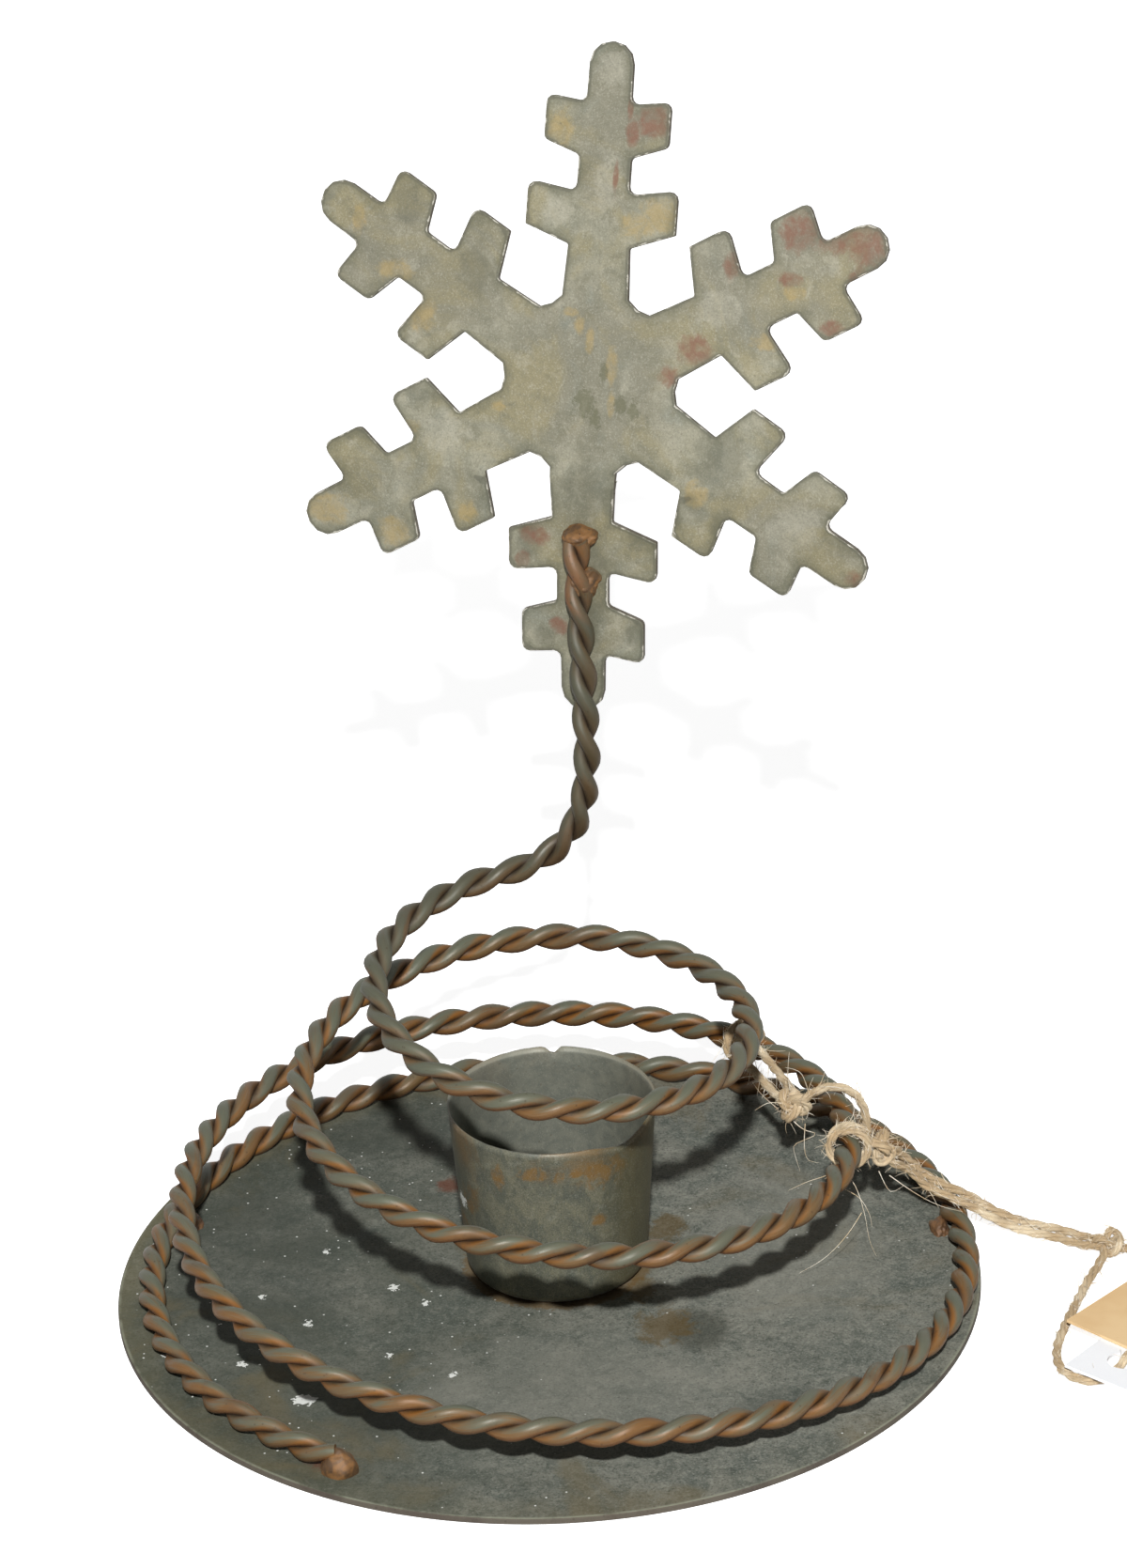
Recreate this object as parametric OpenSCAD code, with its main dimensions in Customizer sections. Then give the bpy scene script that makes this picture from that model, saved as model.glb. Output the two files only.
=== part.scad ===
/* [Base plate] */
// Diameter of the round base plate
plate_d = 102.4; // [96:0.2:130]
// Thickness of the plate's sheet
plate_t = 0.8; // [0.6:0.1:1.5]

/* [Candle cup] */
// Outside diameter of the cup at its mouth
cup_mouth_d = 24.6; // [23.6:0.1:28]
// Outside diameter of the cup at its foot, before the corner is rounded
cup_foot_d = 21.6; // [20:0.1:23]
// Height of the cup
cup_h = 22; // [18:0.5:24]
// Thickness of the drawn wall
cup_wall = 0.4; // [0.3:0.05:0.8]
// Outside radius of the drawn corner between wall and bottom
cup_corner_r = 1.8; // [1:0.1:3]
// Place of the cup to the right of the plate's centre
cup_x = 1.1; // [-3:0.1:4]
// Place of the cup behind the plate's centre
cup_y = 4; // [-3:0.1:5]

/* [Twisted wire] */
// Diameter of one strand
strand_d = 1.6; // [1.2:0.05:1.7]
// Room left between the two strands
strand_gap = 0.08; // [0.04:0.02:0.2]
// Length of wire in which the pair turns round once
twist_pitch = 10.3; // [9:0.1:14]
// How far in from the plate's edge the middle of the wire lies where it rests on the plate
rim_in = 1.7; // [1.7:0.1:6]
// Radius of the coil where it has passed the cup's left side for the last time
neck_r = 20; // [17:0.5:24]
// Rise of the wire from the plate to that same place
climb = 37.5; // [32:0.5:50]
// How far the wire's bend reaches from the coil up to the snowflake's arm
stem_bend = 11; // [8:0.5:14]

/* [Snowflake] */
// Distance from the snowflake's centre to the tip of an arm
flake_r = 39.2; // [36:0.2:44]
// Thickness of the snowflake's sheet
flake_t = 0.8; // [0.6:0.1:1.5]
// Place of its centre to the right of the plate's centre
flake_x = 8.8; // [6:0.1:12]
// Place of its centre behind the plate's centre
flake_y = 27.5; // [25:0.5:32]
// Height of its centre over the surface that the plate stands on
flake_z = 103.6; // [100:0.2:116]
// Angle that it is turned to the left, seen from the front
flake_turn = 20.2; // [10:0.1:30]
// Angle that it leans back
flake_lean = 18.5; // [10:0.5:25]
// Angle that the lower arm is bent back towards upright
arm_bend = 13.5; // [5:0.5:18]
// Distance from the centre to that bend
bend_at = 11; // [10:0.5:13]
// Width of an arm at its round tip
tip_w = 5.2; // [4:0.1:7]
// Width of an arm between its two bars
mid_w = 6.3; // [5:0.1:9]
// Width of an arm next to the hub
root_w = 7.4; // [6:0.1:9]
// Length of the outer bar across the arm
outer_bar_l = 15; // [12:0.1:18]
// Distance from the centre to the middle of the outer bar's ends
outer_bar_at = 30.2; // [29:0.1:32]
// Width of the outer bar's ends
outer_bar_w = 5.2; // [4:0.1:6]
// Length of the inner bar across the arm
inner_bar_l = 18.1; // [16:0.1:18.4]
// Distance from the centre to the middle of the inner bar's ends
inner_bar_at = 20.3; // [19.8:0.1:21]
// Width of the inner bar's ends
inner_bar_w = 5.1; // [4:0.1:5.6]
// Distance from the centre to the bottom of the notch between two arms
notch_r = 10.3; // [9.6:0.1:11]

/* [Twine and tags] */
// Diameter of the twine
twine_d = 1.4; // [1:0.1:1.6]
// Gap kept between the twine and what it is tied round
twine_gap = 0.15; // [0.1:0.05:0.3]
// Length of the brown tag
brown_tag_l = 28; // [20:1:35]
// Width of the brown tag
brown_tag_w = 18; // [14:1:24]
// Length of the white tag
white_tag_l = 16; // [14:1:20]
// Width of the white tag
white_tag_w = 12; // [10:1:13]
// Thickness of the tags' card
card_t = 0.35; // [0.2:0.05:0.6]
// Diameter of the hole punched in each tag
tag_hole_d = 3.4; // [3:0.1:4]

/* [Hidden] */

// The twisted pair: each strand's middle runs this far from the pair's middle
strand_r = strand_d / 2;
strand_off = (strand_d + strand_gap) / 2;
pair_r = strand_off + strand_r;
// The wire rests this high over the plate, which leaves the finest gap for a facet
rest_gap = 0.02;
seat_z = plate_t + pair_r + rest_gap;
lay_r = plate_d / 2 - rim_in;

// Hand-bent coil. Angles run clockwise from the front left end, and the two lists hold,
// for each quarter turn, the share of the way in from lay_r to neck_r and of the climb.
first_angle = 270;
wire_start = 238;
neck_angle = -975;
way_in = [0.10, 0.08, 0, 0, 0.10, 0.20, 0.36, 0.49, 0.61, 0.68, 0.78, 0.88, 0.93, 1, 1.06, 1.12];
way_up = [0, 0, 0, 0, 0.16, 0.29, 0.29, 0.35, 0.48, 0.64, 0.75, 0.76, 0.84, 1, 1.12, 1.24];
// Angle over which the turns drift from the plate's centre to the cup's
drift_angle = 270;

// Steps along the wire, and the rings and sides of each strand
coil_step = 2;
stem_steps = 24;
rings_per_twist = 6;
strand_sides = 6;

// Where the wire lies on the lower arm: its two ends, from the centre and across
low_end_in = 0.4;
arm_wire_low = flake_r - low_end_in;
arm_wire_top = inner_bar_at - inner_bar_w / 2;
wire_cross_low = 0.9;
wire_cross_top = -0.2;

// Directions of the snowflake: across, away behind, up, towards the front
across = [cos(flake_turn), -sin(flake_turn), 0];
behind = [sin(flake_turn), cos(flake_turn), 0];
upward = behind * sin(flake_lean) + [0, 0, cos(flake_lean)];
forward = -behind * cos(flake_lean) + [0, 0, sin(flake_lean)];
flake_at = [flake_x, flake_y, flake_z];
arm_down = -upward * cos(arm_bend) - forward * sin(arm_bend);
arm_front = forward * cos(arm_bend) - upward * sin(arm_bend);

function unit(v) = v / norm(v);
function ease(t) = let (u = min(max(t, 0), 1)) u * u * (3 - 2 * u);
function at(list, i) = list[min(max(i, 0), len(list) - 1)];

// Smooth curve through a list of values, at a place counted in list steps
function spline(list, t) =
    let (i = floor(t), f = t - i,
        a = at(list, i - 1), b = at(list, i), c = at(list, i + 1), d = at(list, i + 2))
    b + 0.5 * f * ((c - a) + f * ((2 * a - 5 * b + 4 * c - d) + f * (3 * (b - c) + d - a)));

// Middle of the wire at an angle of the coil
function coil_point(angle) =
    let (k = (first_angle - angle) / 90,
        r = lay_r - (lay_r - neck_r) * spline(way_in, k),
        w = ease(-angle / drift_angle))
    [w * cup_x + r * cos(angle), w * cup_y + r * sin(angle),
        seat_z + climb * max(0, spline(way_up, k))];
function coil_heading(angle) = unit(coil_point(angle - 0.5) - coil_point(angle + 0.5));

// Place on the lower arm: distance from the centre, across, and off the sheet's middle
function arm_point(from_centre, sideways, off) =
    flake_at - upward * bend_at + arm_down * (from_centre - bend_at)
    + across * sideways + arm_front * off;

wire_off = flake_t / 2 + pair_r + rest_gap;
neck = coil_point(neck_angle);
arm_low = arm_point(arm_wire_low, wire_cross_low, wire_off);
arm_top = arm_point(arm_wire_top, wire_cross_top, wire_off);
stem_a = neck + coil_heading(neck_angle) * stem_bend;
stem_b = arm_low - unit(arm_top - arm_low) * stem_bend;

function bezier(p, q, r, s, t) =
    p * pow(1 - t, 3) + q * 3 * t * pow(1 - t, 2) + r * 3 * t * t * (1 - t) + s * pow(t, 3);

axis_rough = concat(
    [for (a = [wire_start : -coil_step : neck_angle]) coil_point(a)],
    [for (i = [1 : stem_steps]) bezier(neck, stem_a, stem_b, arm_low, i / stem_steps)],
    [arm_top]);

// Length of wire up to each rough point, then the same path in even steps
run_up = [for (i = 0, s = 0; i < len(axis_rough);
        i = i + 1, s = s + (i < len(axis_rough) ? norm(axis_rough[i] - axis_rough[i - 1]) : 0)) s];
wire_l = run_up[len(run_up) - 1];
ring_n = round(wire_l / twist_pitch * rings_per_twist);
along = [for (k = [0, 1, 2]) [for (i = [0 : len(axis_rough) - 1]) [run_up[i], axis_rough[i][k]]]];
axis = [for (i = [0 : ring_n]) let (s = wire_l * i / ring_n)
        [for (k = [0, 1, 2]) lookup(s, along[k])]];

function heading(path, i) =
    unit(at(path, i + 1) - at(path, i - 1));

// A side direction carried along the path without turning round it
function carry(side, ahead) = unit(side - ahead * (side * ahead));
sides = [for (i = 0, v = carry([0, 0, 1], heading(axis, 0)); i <= ring_n;
        i = i + 1, v = carry(v, heading(axis, min(i, ring_n)))) v];

// Middle of a strand: the twist is left-handed, one turn for each twist_pitch
function strand_path(phase) = [for (i = [0 : ring_n])
    let (turn = phase - 360 * i / rings_per_twist, n = sides[i], b = cross(heading(axis, i), n))
    axis[i] + (n * cos(turn) + b * sin(turn)) * strand_off];

// Closed tube round a path, with each ring turned to face out from a core path
function tube_points(path, core, r, count) = [for (i = [0 : len(path) - 1])
    let (ahead = heading(path, i), out = carry(path[i] - core[i], ahead), up = cross(ahead, out))
    for (j = [0 : count - 1]) let (a = 360 * (j + 0.5) / count)
        path[i] + (out * cos(a) + up * sin(a)) * r];
function tube_faces(rings, count) = concat(
    [[for (j = [0 : count - 1]) j]],
    [for (i = [0 : rings - 2]) for (j = [0 : count - 1])
        let (a = i * count + j, b = i * count + (j + 1) % count)
        each [[a, a + count, b], [b, a + count, b + count]]],
    [[for (j = [count - 1 : -1 : 0]) (rings - 1) * count + j]]);

module strand(phase) {
    path = strand_path(phase);
    polyhedron(tube_points(path, axis, strand_r, strand_sides),
        tube_faces(len(path), strand_sides), convexity = 12);
}

// Outline of a list of corners [x, y, radius], each rounded with short straight steps
corner_steps = 3;
function rounded(list) = let (n = len(list)) [for (i = [0 : n - 1])
    let (p = [list[i][0], list[i][1]],
        before = list[(i + n - 1) % n], after = list[(i + 1) % n],
        u = unit([before[0], before[1]] - p), v = unit([after[0], after[1]] - p),
        half = acos(min(max(u * v, -1), 1)) / 2, r = list[i][2])
    each (r < 0.05 ? [p] :
        let (cut = r / tan(half), mid = p + unit(u + v) * r / sin(half),
            from = p + u * cut - mid, to = p + v * cut - mid,
            a0 = atan2(from[1], from[0]), swing = atan2(from[0] * to[1] - from[1] * to[0], from * to))
        [for (k = [0 : corner_steps]) let (a = a0 + swing * k / corner_steps)
            mid + r * [cos(a), sin(a)]])];

// One side of an arm from the hub's notch to the tip: across, outwards, corner radius
// A bar's edges slope: how much lower they meet the arm than they end, inner and outer edge
bar_rise = 0.6;
inner_rise = 0.9;
outer_slope = 1.5;
inner_slope = 1.9;
// The notch's bottom is short and flat: its half width beyond the arm, and how much lower
notch_side = 0.3;
notch_drop = 0.35;
arm_side = [
    [notch_r * sin(30), notch_r * cos(30), 0],
    [root_w / 2 + notch_side, notch_r - notch_drop, 0],
    [root_w / 2, inner_bar_at - inner_bar_w / 2 - inner_slope, 0.3],
    [inner_bar_l / 2, inner_bar_at - inner_bar_w / 2, 0.2],
    [inner_bar_l / 2, inner_bar_at + inner_bar_w / 2, 1],
    [mid_w / 2, inner_bar_at + inner_bar_w / 2 - inner_rise, 0.8],
    [mid_w / 2, outer_bar_at - outer_bar_w / 2 - outer_slope, 0.6],
    [outer_bar_l / 2, outer_bar_at - outer_bar_w / 2, 0.8],
    [outer_bar_l / 2, outer_bar_at + outer_bar_w / 2, 0.9],
    [tip_w / 2 + 0.1, outer_bar_at + outer_bar_w / 2 - bar_rise, 0.8],
    [tip_w / 2, flake_r, tip_w / 2 - 0.05]];
arm_n = len(arm_side);
arm_outline = concat(arm_side, [for (i = [arm_n - 1 : -1 : 1])
    [-arm_side[i][0], arm_side[i][1], arm_side[i][2]]]);
flake_outline = rounded([for (k = [0 : 5]) for (c = arm_outline)
    [c[0] * cos(60 * k) - c[1] * sin(60 * k), c[0] * sin(60 * k) + c[1] * cos(60 * k), c[2]]]);

// Moves a drawing made upright in the X-Z plane to the snowflake's place
module at_flake() {
    translate(flake_at) rotate([-flake_lean, 0, -flake_turn]) children();
}
// The same for the lower arm, turned back about the line of its bend
module at_lower_arm() {
    at_flake() translate([0, 0, -bend_at]) rotate([arm_bend, 0, 0]) translate([0, 0, bend_at])
        children();
}
module sheet(from_v, to_v) {
    rotate([90, 0, 0]) linear_extrude(height = flake_t, center = true) intersection() {
        polygon(flake_outline);
        translate([-flake_r, from_v]) square([2 * flake_r, to_v - from_v]);
    }
}

// Bead of weld metal on a flat face: the part of a ball that stands over the face
module bead(r, rise) {
    rotate_extrude($fn = 48) intersection() {
        translate([0, rise]) circle(r = r, $fn = 48);
        square([2 * r, 2 * r + rise]);
    }
}

// Tack welds that hold the wire's end and its first turn to the plate: the angle, how far
// in from the wire, how far the ball's middle is over the plate, and its radius
start_weld_past = 0.6;
start_weld_rise = 1.15;
start_weld_r = 1.8;
left_tack_angle = 160;
right_tack_angle = 9;
tack_in = pair_r + 0.3;
tack_rise = 0.3;
tack_r = 1.5;
module tack(angle, inward, rise, r) {
    place = coil_point(angle) - [cos(angle), sin(angle), 0] * inward;
    color("sienna") translate([place[0], place[1], plate_t]) bead(r, rise);
}

// Welds on the lower arm: one over the wire's end and one lower down
weld_rise = 0.85;
upper_weld_r = 1.9;
lower_weld_r = 2;
lower_weld_step = 5.4;
lower_weld_side = 0.6;
module arm_weld(sideways, from_centre, r) {
    color("sienna") at_lower_arm() translate([sideways, -flake_t / 2, -from_centre])
        rotate([90, 0, 0]) bead(r, weld_rise);
}

// Turns a drawing made round Z to stand round the coil at an angle
module at_coil(angle) {
    h = coil_heading(angle);
    translate(coil_point(angle))
        rotate([0, acos(h[2]), atan2(h[1], h[0])]) children();
}
// Hitch: two rings of twine side by side round the wire
hitch_r = pair_r + twine_gap + twine_d / 2;
hitch_step = twine_d + 0.1;
module hitch(angle) {
    for (shift = [-hitch_step / 2, hitch_step / 2])
        at_coil(angle) translate([0, 0, shift]) rotate_extrude($fn = 48)
            translate([hitch_r, 0]) circle(d = twine_d, $fn = 24);
}

// Plain twine along hand-chosen points
twine_sides = 8;
function even_core(path) = [for (p = path) p + [0, 0, -50]];
module twine(path) {
    polyhedron(tube_points(path, even_core(path), twine_d / 2, twine_sides),
        tube_faces(len(path), twine_sides), convexity = 8);
}

// Overhand knot, drawn tight: one closed loop that crosses itself three times, of twine
// that the pull has squeezed thinner
knot_rings = 36;
knot_sides = 6;
knot_spread = twine_d * 0.54;
knot_depth = twine_d * 0.65;
knot_strand_r = twine_d * 0.34;
function knot_point(t) = [
    knot_spread * (sin(t) + 2 * sin(2 * t)),
    knot_spread * (cos(t) - 2 * cos(2 * t)),
    -knot_depth * sin(3 * t)];
module knot(place, turn) {
    ring = [for (i = [0 : knot_rings - 1]) let (t = 360 * i / knot_rings,
            ahead = unit(knot_point(t + 1) - knot_point(t - 1)),
            out = carry([0, 0, 1], ahead), up = cross(ahead, out))
        for (j = [0 : knot_sides - 1]) let (a = 360 * j / knot_sides)
            knot_point(t) + (out * cos(a) + up * sin(a)) * knot_strand_r];
    n = knot_rings * knot_sides;
    faces = [for (i = [0 : knot_rings - 1]) for (j = [0 : knot_sides - 1])
        let (a = i * knot_sides + j, b = i * knot_sides + (j + 1) % knot_sides,
            c = (a + knot_sides) % n, d = (b + knot_sides) % n)
        each [[a, c, b], [b, c, d]]];
    translate(place) rotate(turn) polyhedron(ring, faces, convexity = 8);
}

// The twine's points are given for a wire that passes these two places and for this plate's
// edge, and they move along where another size moves the wire or the edge
back_hitch_angle = -310.5;
ring_hitch_angle = -362;
back_hitch_at = [25.2, 32.2, 14];
ring_hitch_at = [36, 2.8, 15.7];
edge_at = 51.2;
back_shift = coil_point(back_hitch_angle) - back_hitch_at;
ring_shift = coil_point(ring_hitch_angle) - ring_hitch_at;
table_shift = [plate_d / 2 - edge_at, 0, 0];
low_z = twine_d / 2 + 0.05;
function moved(path, from_shift, to_shift) = [for (i = [0 : len(path) - 1])
    let (t = i / (len(path) - 1), p = path[i] + from_shift * (1 - t) + to_shift * t)
    [p[0], p[1], max(p[2], low_z)]];

// Route of the twine, in round numbers: two strands side by side over the wire and the
// plate's edge to the far knot on the table, and a loop from there through both tags
upper_knot_at = [30.2, 15.6, 14.2];
lower_knot_at = [40, 4.6, 14.2];
far_knot_at = [67, 1.6, 1.6];
bridge_upper = [[24.4, 30.1, 15.8], [26.2, 27.6, 16], [27.6, 24.6, 15.6], [28.9, 21.2, 15.3],
    [29.9, 18.4, 15.1], [30.2, 17, 14.9]];
bridge_under = [[23.9, 29.8, 13.9], [25.1, 27.2, 13.9], [26.4, 24, 13.7], [27.8, 20.8, 13.5],
    [28.8, 18.4, 13.4], [29.3, 16.4, 13.6]];
bridge_low = [[31.7, 14.6, 15.6], [33.2, 14, 17], [35, 13.2, 17.8], [36.7, 12, 17.9], [37.8, 10, 17.7],
    [38.3, 7.2, 17.3], [38.2, 3.6, 16.9]];
run_out = [[41.6, 6.6, 12.6], [43.4, 8.4, 10.2], [45.6, 9.4, 7.4], [48.2, 9.2, 5.8], [51, 8.9, 4.4],
    [54, 8.6, 2.4], [57.6, 8, 1], [61.2, 6.6, 0.75], [64.6, 4.2, 0.8], [66, 3, 1.2]];
run_back = [[41.2, 4.6, 12.2], [43.4, 6.6, 9.8], [45.6, 7.4, 7], [48.2, 7.2, 5.5], [51, 7, 4.1],
    [54, 6.8, 2.2], [57.4, 6.2, 0.9], [60.6, 4.8, 0.75], [63.8, 2.6, 0.8], [65.4, 1.6, 1.2]];
loop_path = [[66, 0, 1.1], [65, -2.4, 0.8], [63.4, -5.8, 0.75], [61.4, -11, 0.75], [59.4, -16.4, 0.75],
    [58.2, -21, 0.75], [58.4, -24.6, 0.75], [60.2, -27, 0.75], [62.4, -27.4, 0.78], [64.2, -26.4, 1.1],
    [65.3, -25.2, 1.8], [66.4, -24.6, 2.6], [68, -24, 2.95], [71.4, -22.2, 2.8], [74.4, -20.8, 2.7],
    [76, -19.9, 2], [76.4, -18.4, 1.1], [76, -15.8, 0.75], [74.8, -12, 0.75], [73.6, -8, 0.75],
    [73, -4.4, 0.75], [72, -1.4, 0.75], [70.4, 0.4, 0.8], [68.8, 1.2, 1.1]];

// Tags: both lie in one slope, the white one held up by the twine under its left corner
// and the brown one on top of it
white_corner = [58.6, -26];
white_heading = 5;
brown_corner = [59.8, -16.9];
brown_heading = 2;
card_fall_heading = 3.5;
card_tilt = 2.6;
card_lift = twine_d + 0.4;
card_gap = 0.1;
function card_z(place) = card_lift
    - (place - white_corner) * [cos(card_fall_heading), sin(card_fall_heading)] * tan(card_tilt);
module tag(corner, heading_angle, lift, width, length, hole_at) {
    translate([corner[0], corner[1], card_z(corner) + lift] + table_shift)
        rotate([0, 0, card_fall_heading]) rotate([0, card_tilt, 0])
        rotate([0, 0, heading_angle - card_fall_heading - 45])
        linear_extrude(height = card_t) difference() {
            square([width, length]);
            translate(hole_at) circle(d = tag_hole_d, $fn = 32);
        }
}

module base_plate() {
    color("dimgray") cylinder(d = plate_d, h = plate_t, $fn = 180);
}
module candle_cup() {
    foot_r = cup_foot_d / 2;
    mouth_r = cup_mouth_d / 2;
    inner_corner = cup_corner_r - cup_wall;
    turns = 6;
    outer_arc = [for (i = [0 : turns]) let (a = -90 + 90 * i / turns)
        [foot_r - cup_corner_r + cup_corner_r * cos(a), cup_corner_r + cup_corner_r * sin(a)]];
    inner_arc = [for (i = [turns : -1 : 0]) let (a = -90 + 90 * i / turns)
        [foot_r - cup_corner_r + inner_corner * cos(a), cup_corner_r + inner_corner * sin(a)]];
    color("gray") translate([cup_x, cup_y, plate_t]) rotate_extrude($fn = 120)
        polygon(concat([[0, 0]], outer_arc, [[mouth_r, cup_h], [mouth_r - cup_wall, cup_h]],
            inner_arc, [[0, cup_wall]]));
}
module wire_strand_one() {
    color("peru") strand(0);
}
module wire_strand_two() {
    color("slategray") strand(180);
}
module tack_weld_start() {
    tack(wire_start + start_weld_past, 0, start_weld_rise, start_weld_r);
}
module tack_weld_left() {
    tack(left_tack_angle, tack_in, tack_rise, tack_r);
}
module tack_weld_right() {
    tack(right_tack_angle, tack_in, tack_rise, tack_r);
}
module snowflake() {
    color("darkgray") union() {
        at_flake() sheet(-bend_at, flake_r + 1);
        at_lower_arm() sheet(-flake_r - 1, -bend_at);
        at_flake() translate([-root_w / 2, 0, -bend_at]) rotate([0, 90, 0])
            cylinder(d = flake_t, h = root_w, $fn = 24);
    }
}
module arm_weld_upper() {
    arm_weld(wire_cross_top, arm_wire_top, upper_weld_r);
}
module arm_weld_lower() {
    arm_weld(wire_cross_top + lower_weld_side, arm_wire_top + lower_weld_step, lower_weld_r);
}
module twine_back_hitch() {
    color("burlywood") hitch(back_hitch_angle);
}
module twine_upper_knot() {
    color("burlywood") knot(upper_knot_at + back_shift, [60, 20, -30]);
}
module twine_bridge() {
    color("burlywood") {
        twine(moved(bridge_upper, back_shift, back_shift));
        twine(moved(bridge_under, back_shift, back_shift));
        twine(moved(bridge_low, back_shift, ring_shift));
    }
}
module twine_ring_hitch() {
    color("burlywood") hitch(ring_hitch_angle);
}
module twine_lower_knot() {
    color("burlywood") knot(lower_knot_at + ring_shift, [70, 10, 80]);
}
module twine_run() {
    color("burlywood") {
        twine(moved(run_out, ring_shift, table_shift));
        twine(moved(run_back, ring_shift, table_shift));
    }
}
module twine_far_knot() {
    color("burlywood") knot(far_knot_at + table_shift, [0, 0, 20]);
}
module twine_loop() {
    color("burlywood") twine(moved(loop_path, table_shift, table_shift));
}
module brown_tag() {
    color("tan") tag(brown_corner, brown_heading, card_t + card_gap,
        brown_tag_w, brown_tag_l, [14, 9]);
}
module white_tag() {
    color("white") tag(white_corner, white_heading, 0, white_tag_l, white_tag_w, [4.6, 4.9]);
}

// Least gap between one turn of the wire and the next, measured on points
turn_rings = 60;
least = min([for (i = [0 : 2 : ring_n - turn_rings]) for (j = [i + turn_rings : 2 : ring_n])
    norm(axis[i] - axis[j])]) - 2 * pair_r;
echo(wire_length = wire_l, least_gap_between_turns = least);

base_plate();
candle_cup();
wire_strand_one();
wire_strand_two();
tack_weld_start();
tack_weld_left();
tack_weld_right();
snowflake();
arm_weld_upper();
arm_weld_lower();
twine_back_hitch();
twine_upper_knot();
twine_bridge();
twine_ring_hitch();
twine_lower_knot();
twine_run();
twine_far_knot();
twine_loop();
brown_tag();
white_tag();
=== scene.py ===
import math
import random

import bmesh
import bpy
from mathutils import Matrix, Vector, kdtree, noise


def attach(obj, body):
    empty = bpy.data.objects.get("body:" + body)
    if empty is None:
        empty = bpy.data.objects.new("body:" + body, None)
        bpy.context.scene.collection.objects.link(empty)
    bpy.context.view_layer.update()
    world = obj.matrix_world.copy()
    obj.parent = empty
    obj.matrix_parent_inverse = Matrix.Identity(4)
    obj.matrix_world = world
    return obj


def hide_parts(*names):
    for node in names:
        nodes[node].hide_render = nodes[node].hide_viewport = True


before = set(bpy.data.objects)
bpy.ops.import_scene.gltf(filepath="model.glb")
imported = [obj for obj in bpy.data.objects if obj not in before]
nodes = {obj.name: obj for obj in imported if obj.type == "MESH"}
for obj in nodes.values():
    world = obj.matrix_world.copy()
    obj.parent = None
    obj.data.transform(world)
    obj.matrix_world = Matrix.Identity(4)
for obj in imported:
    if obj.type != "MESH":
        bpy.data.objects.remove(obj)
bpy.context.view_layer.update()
scene = bpy.context.scene
print("frame loaded")

# Lengths in the settings are in millimetres, angles in degrees
mm = 0.001


# ---- camera, at the photograph's place

cameraSettings = {
    "place": (0, -556.17, 336.42), "lookDown": 25.934, "lookRight": 0.401, "roll": -2.138,
    "lens": 124.99, "sensor": 36,
}


def turned(angle, axis):
    return Matrix.Rotation(math.radians(angle), 4, axis)


def moved(place):
    return Matrix.Translation(Vector(place) * mm)


def makeCamera(s):
    camera = bpy.data.objects.new("camera", bpy.data.cameras.new("camera"))
    scene.collection.objects.link(camera)
    camera.data.lens = s["lens"]
    camera.data.sensor_width = s["sensor"]
    camera.data.clip_start = 0.05
    camera.data.clip_end = 20
    camera.matrix_world = (
        moved(s["place"]) @ turned(-s["lookRight"], "Z")
        @ turned(90 - s["lookDown"], "X") @ turned(s["roll"], "Z")
    )
    scene.camera = camera


makeCamera(cameraSettings)
print("camera made")


# ---- paths and tubes

def ease(t):
    t = min(max(t, 0), 1)
    return t * t * (3 - 2 * t)


def smoothAt(values, t):
    # Smooth curve through a list, at a place counted in list steps
    i = min(max(math.floor(t), 0), len(values) - 1)
    f = t - i
    a, b, c, d = (values[min(max(i + k, 0), len(values) - 1)] for k in (-1, 0, 1, 2))
    return b + 0.5 * f * ((c - a) + f * ((2 * a - 5 * b + 4 * c - d) + f * (3 * (b - c) + d - a)))


def lengthsOf(points):
    run = [0]
    for a, b in zip(points, points[1:]):
        run.append(run[-1] + (b - a).length)
    return run


def evenSteps(points, step):
    run = lengthsOf(points)
    count = max(2, round(run[-1] / step))
    made, i = [], 0
    for k in range(count + 1):
        s = run[-1] * k / count
        while i < len(points) - 2 and run[i + 1] < s:
            i += 1
        f = (s - run[i]) / max(run[i + 1] - run[i], 1e-12)
        made.append(points[i].lerp(points[i + 1], min(max(f, 0), 1)))
    return made


def smoothPath(points, step):
    # Points in millimetres to an even, smooth path in metres
    places = [Vector(p) * mm for p in points]
    fine = [smoothAt(places, k / 12) for k in range(12 * (len(places) - 1) + 1)]
    return evenSteps(fine, step * mm)


def framesAlong(points, closed=False):
    # Heading and two side directions at each point, carried along without turning
    made, side, n = [], Vector((0, 0, 1)), len(points)
    for i in range(n):
        if closed:
            ahead = (points[(i + 1) % n] - points[i - 1]).normalized()
        else:
            ahead = (points[min(i + 1, n - 1)] - points[max(i - 1, 0)]).normalized()
        side = side - ahead * side.dot(ahead)
        if side.length < 1e-6:
            side = ahead.orthogonal()
        side.normalize()
        made.append((ahead, side.copy(), ahead.cross(side)))
    return made


def twisted(points, offset, pitch, phase, closed=False):
    # A path that winds round another, left-handed where the pitch is positive
    run = lengthsOf(points)
    made = []
    for p, s, (_, side, up) in zip(points, run, framesAlong(points, closed)):
        a = math.radians(phase - 360 * s / pitch)
        made.append(p + (side * math.cos(a) + up * math.sin(a)) * offset)
    return made


def link(name, mesh):
    made = bpy.data.objects.new(name, mesh)
    scene.collection.objects.link(made)
    return made


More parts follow.
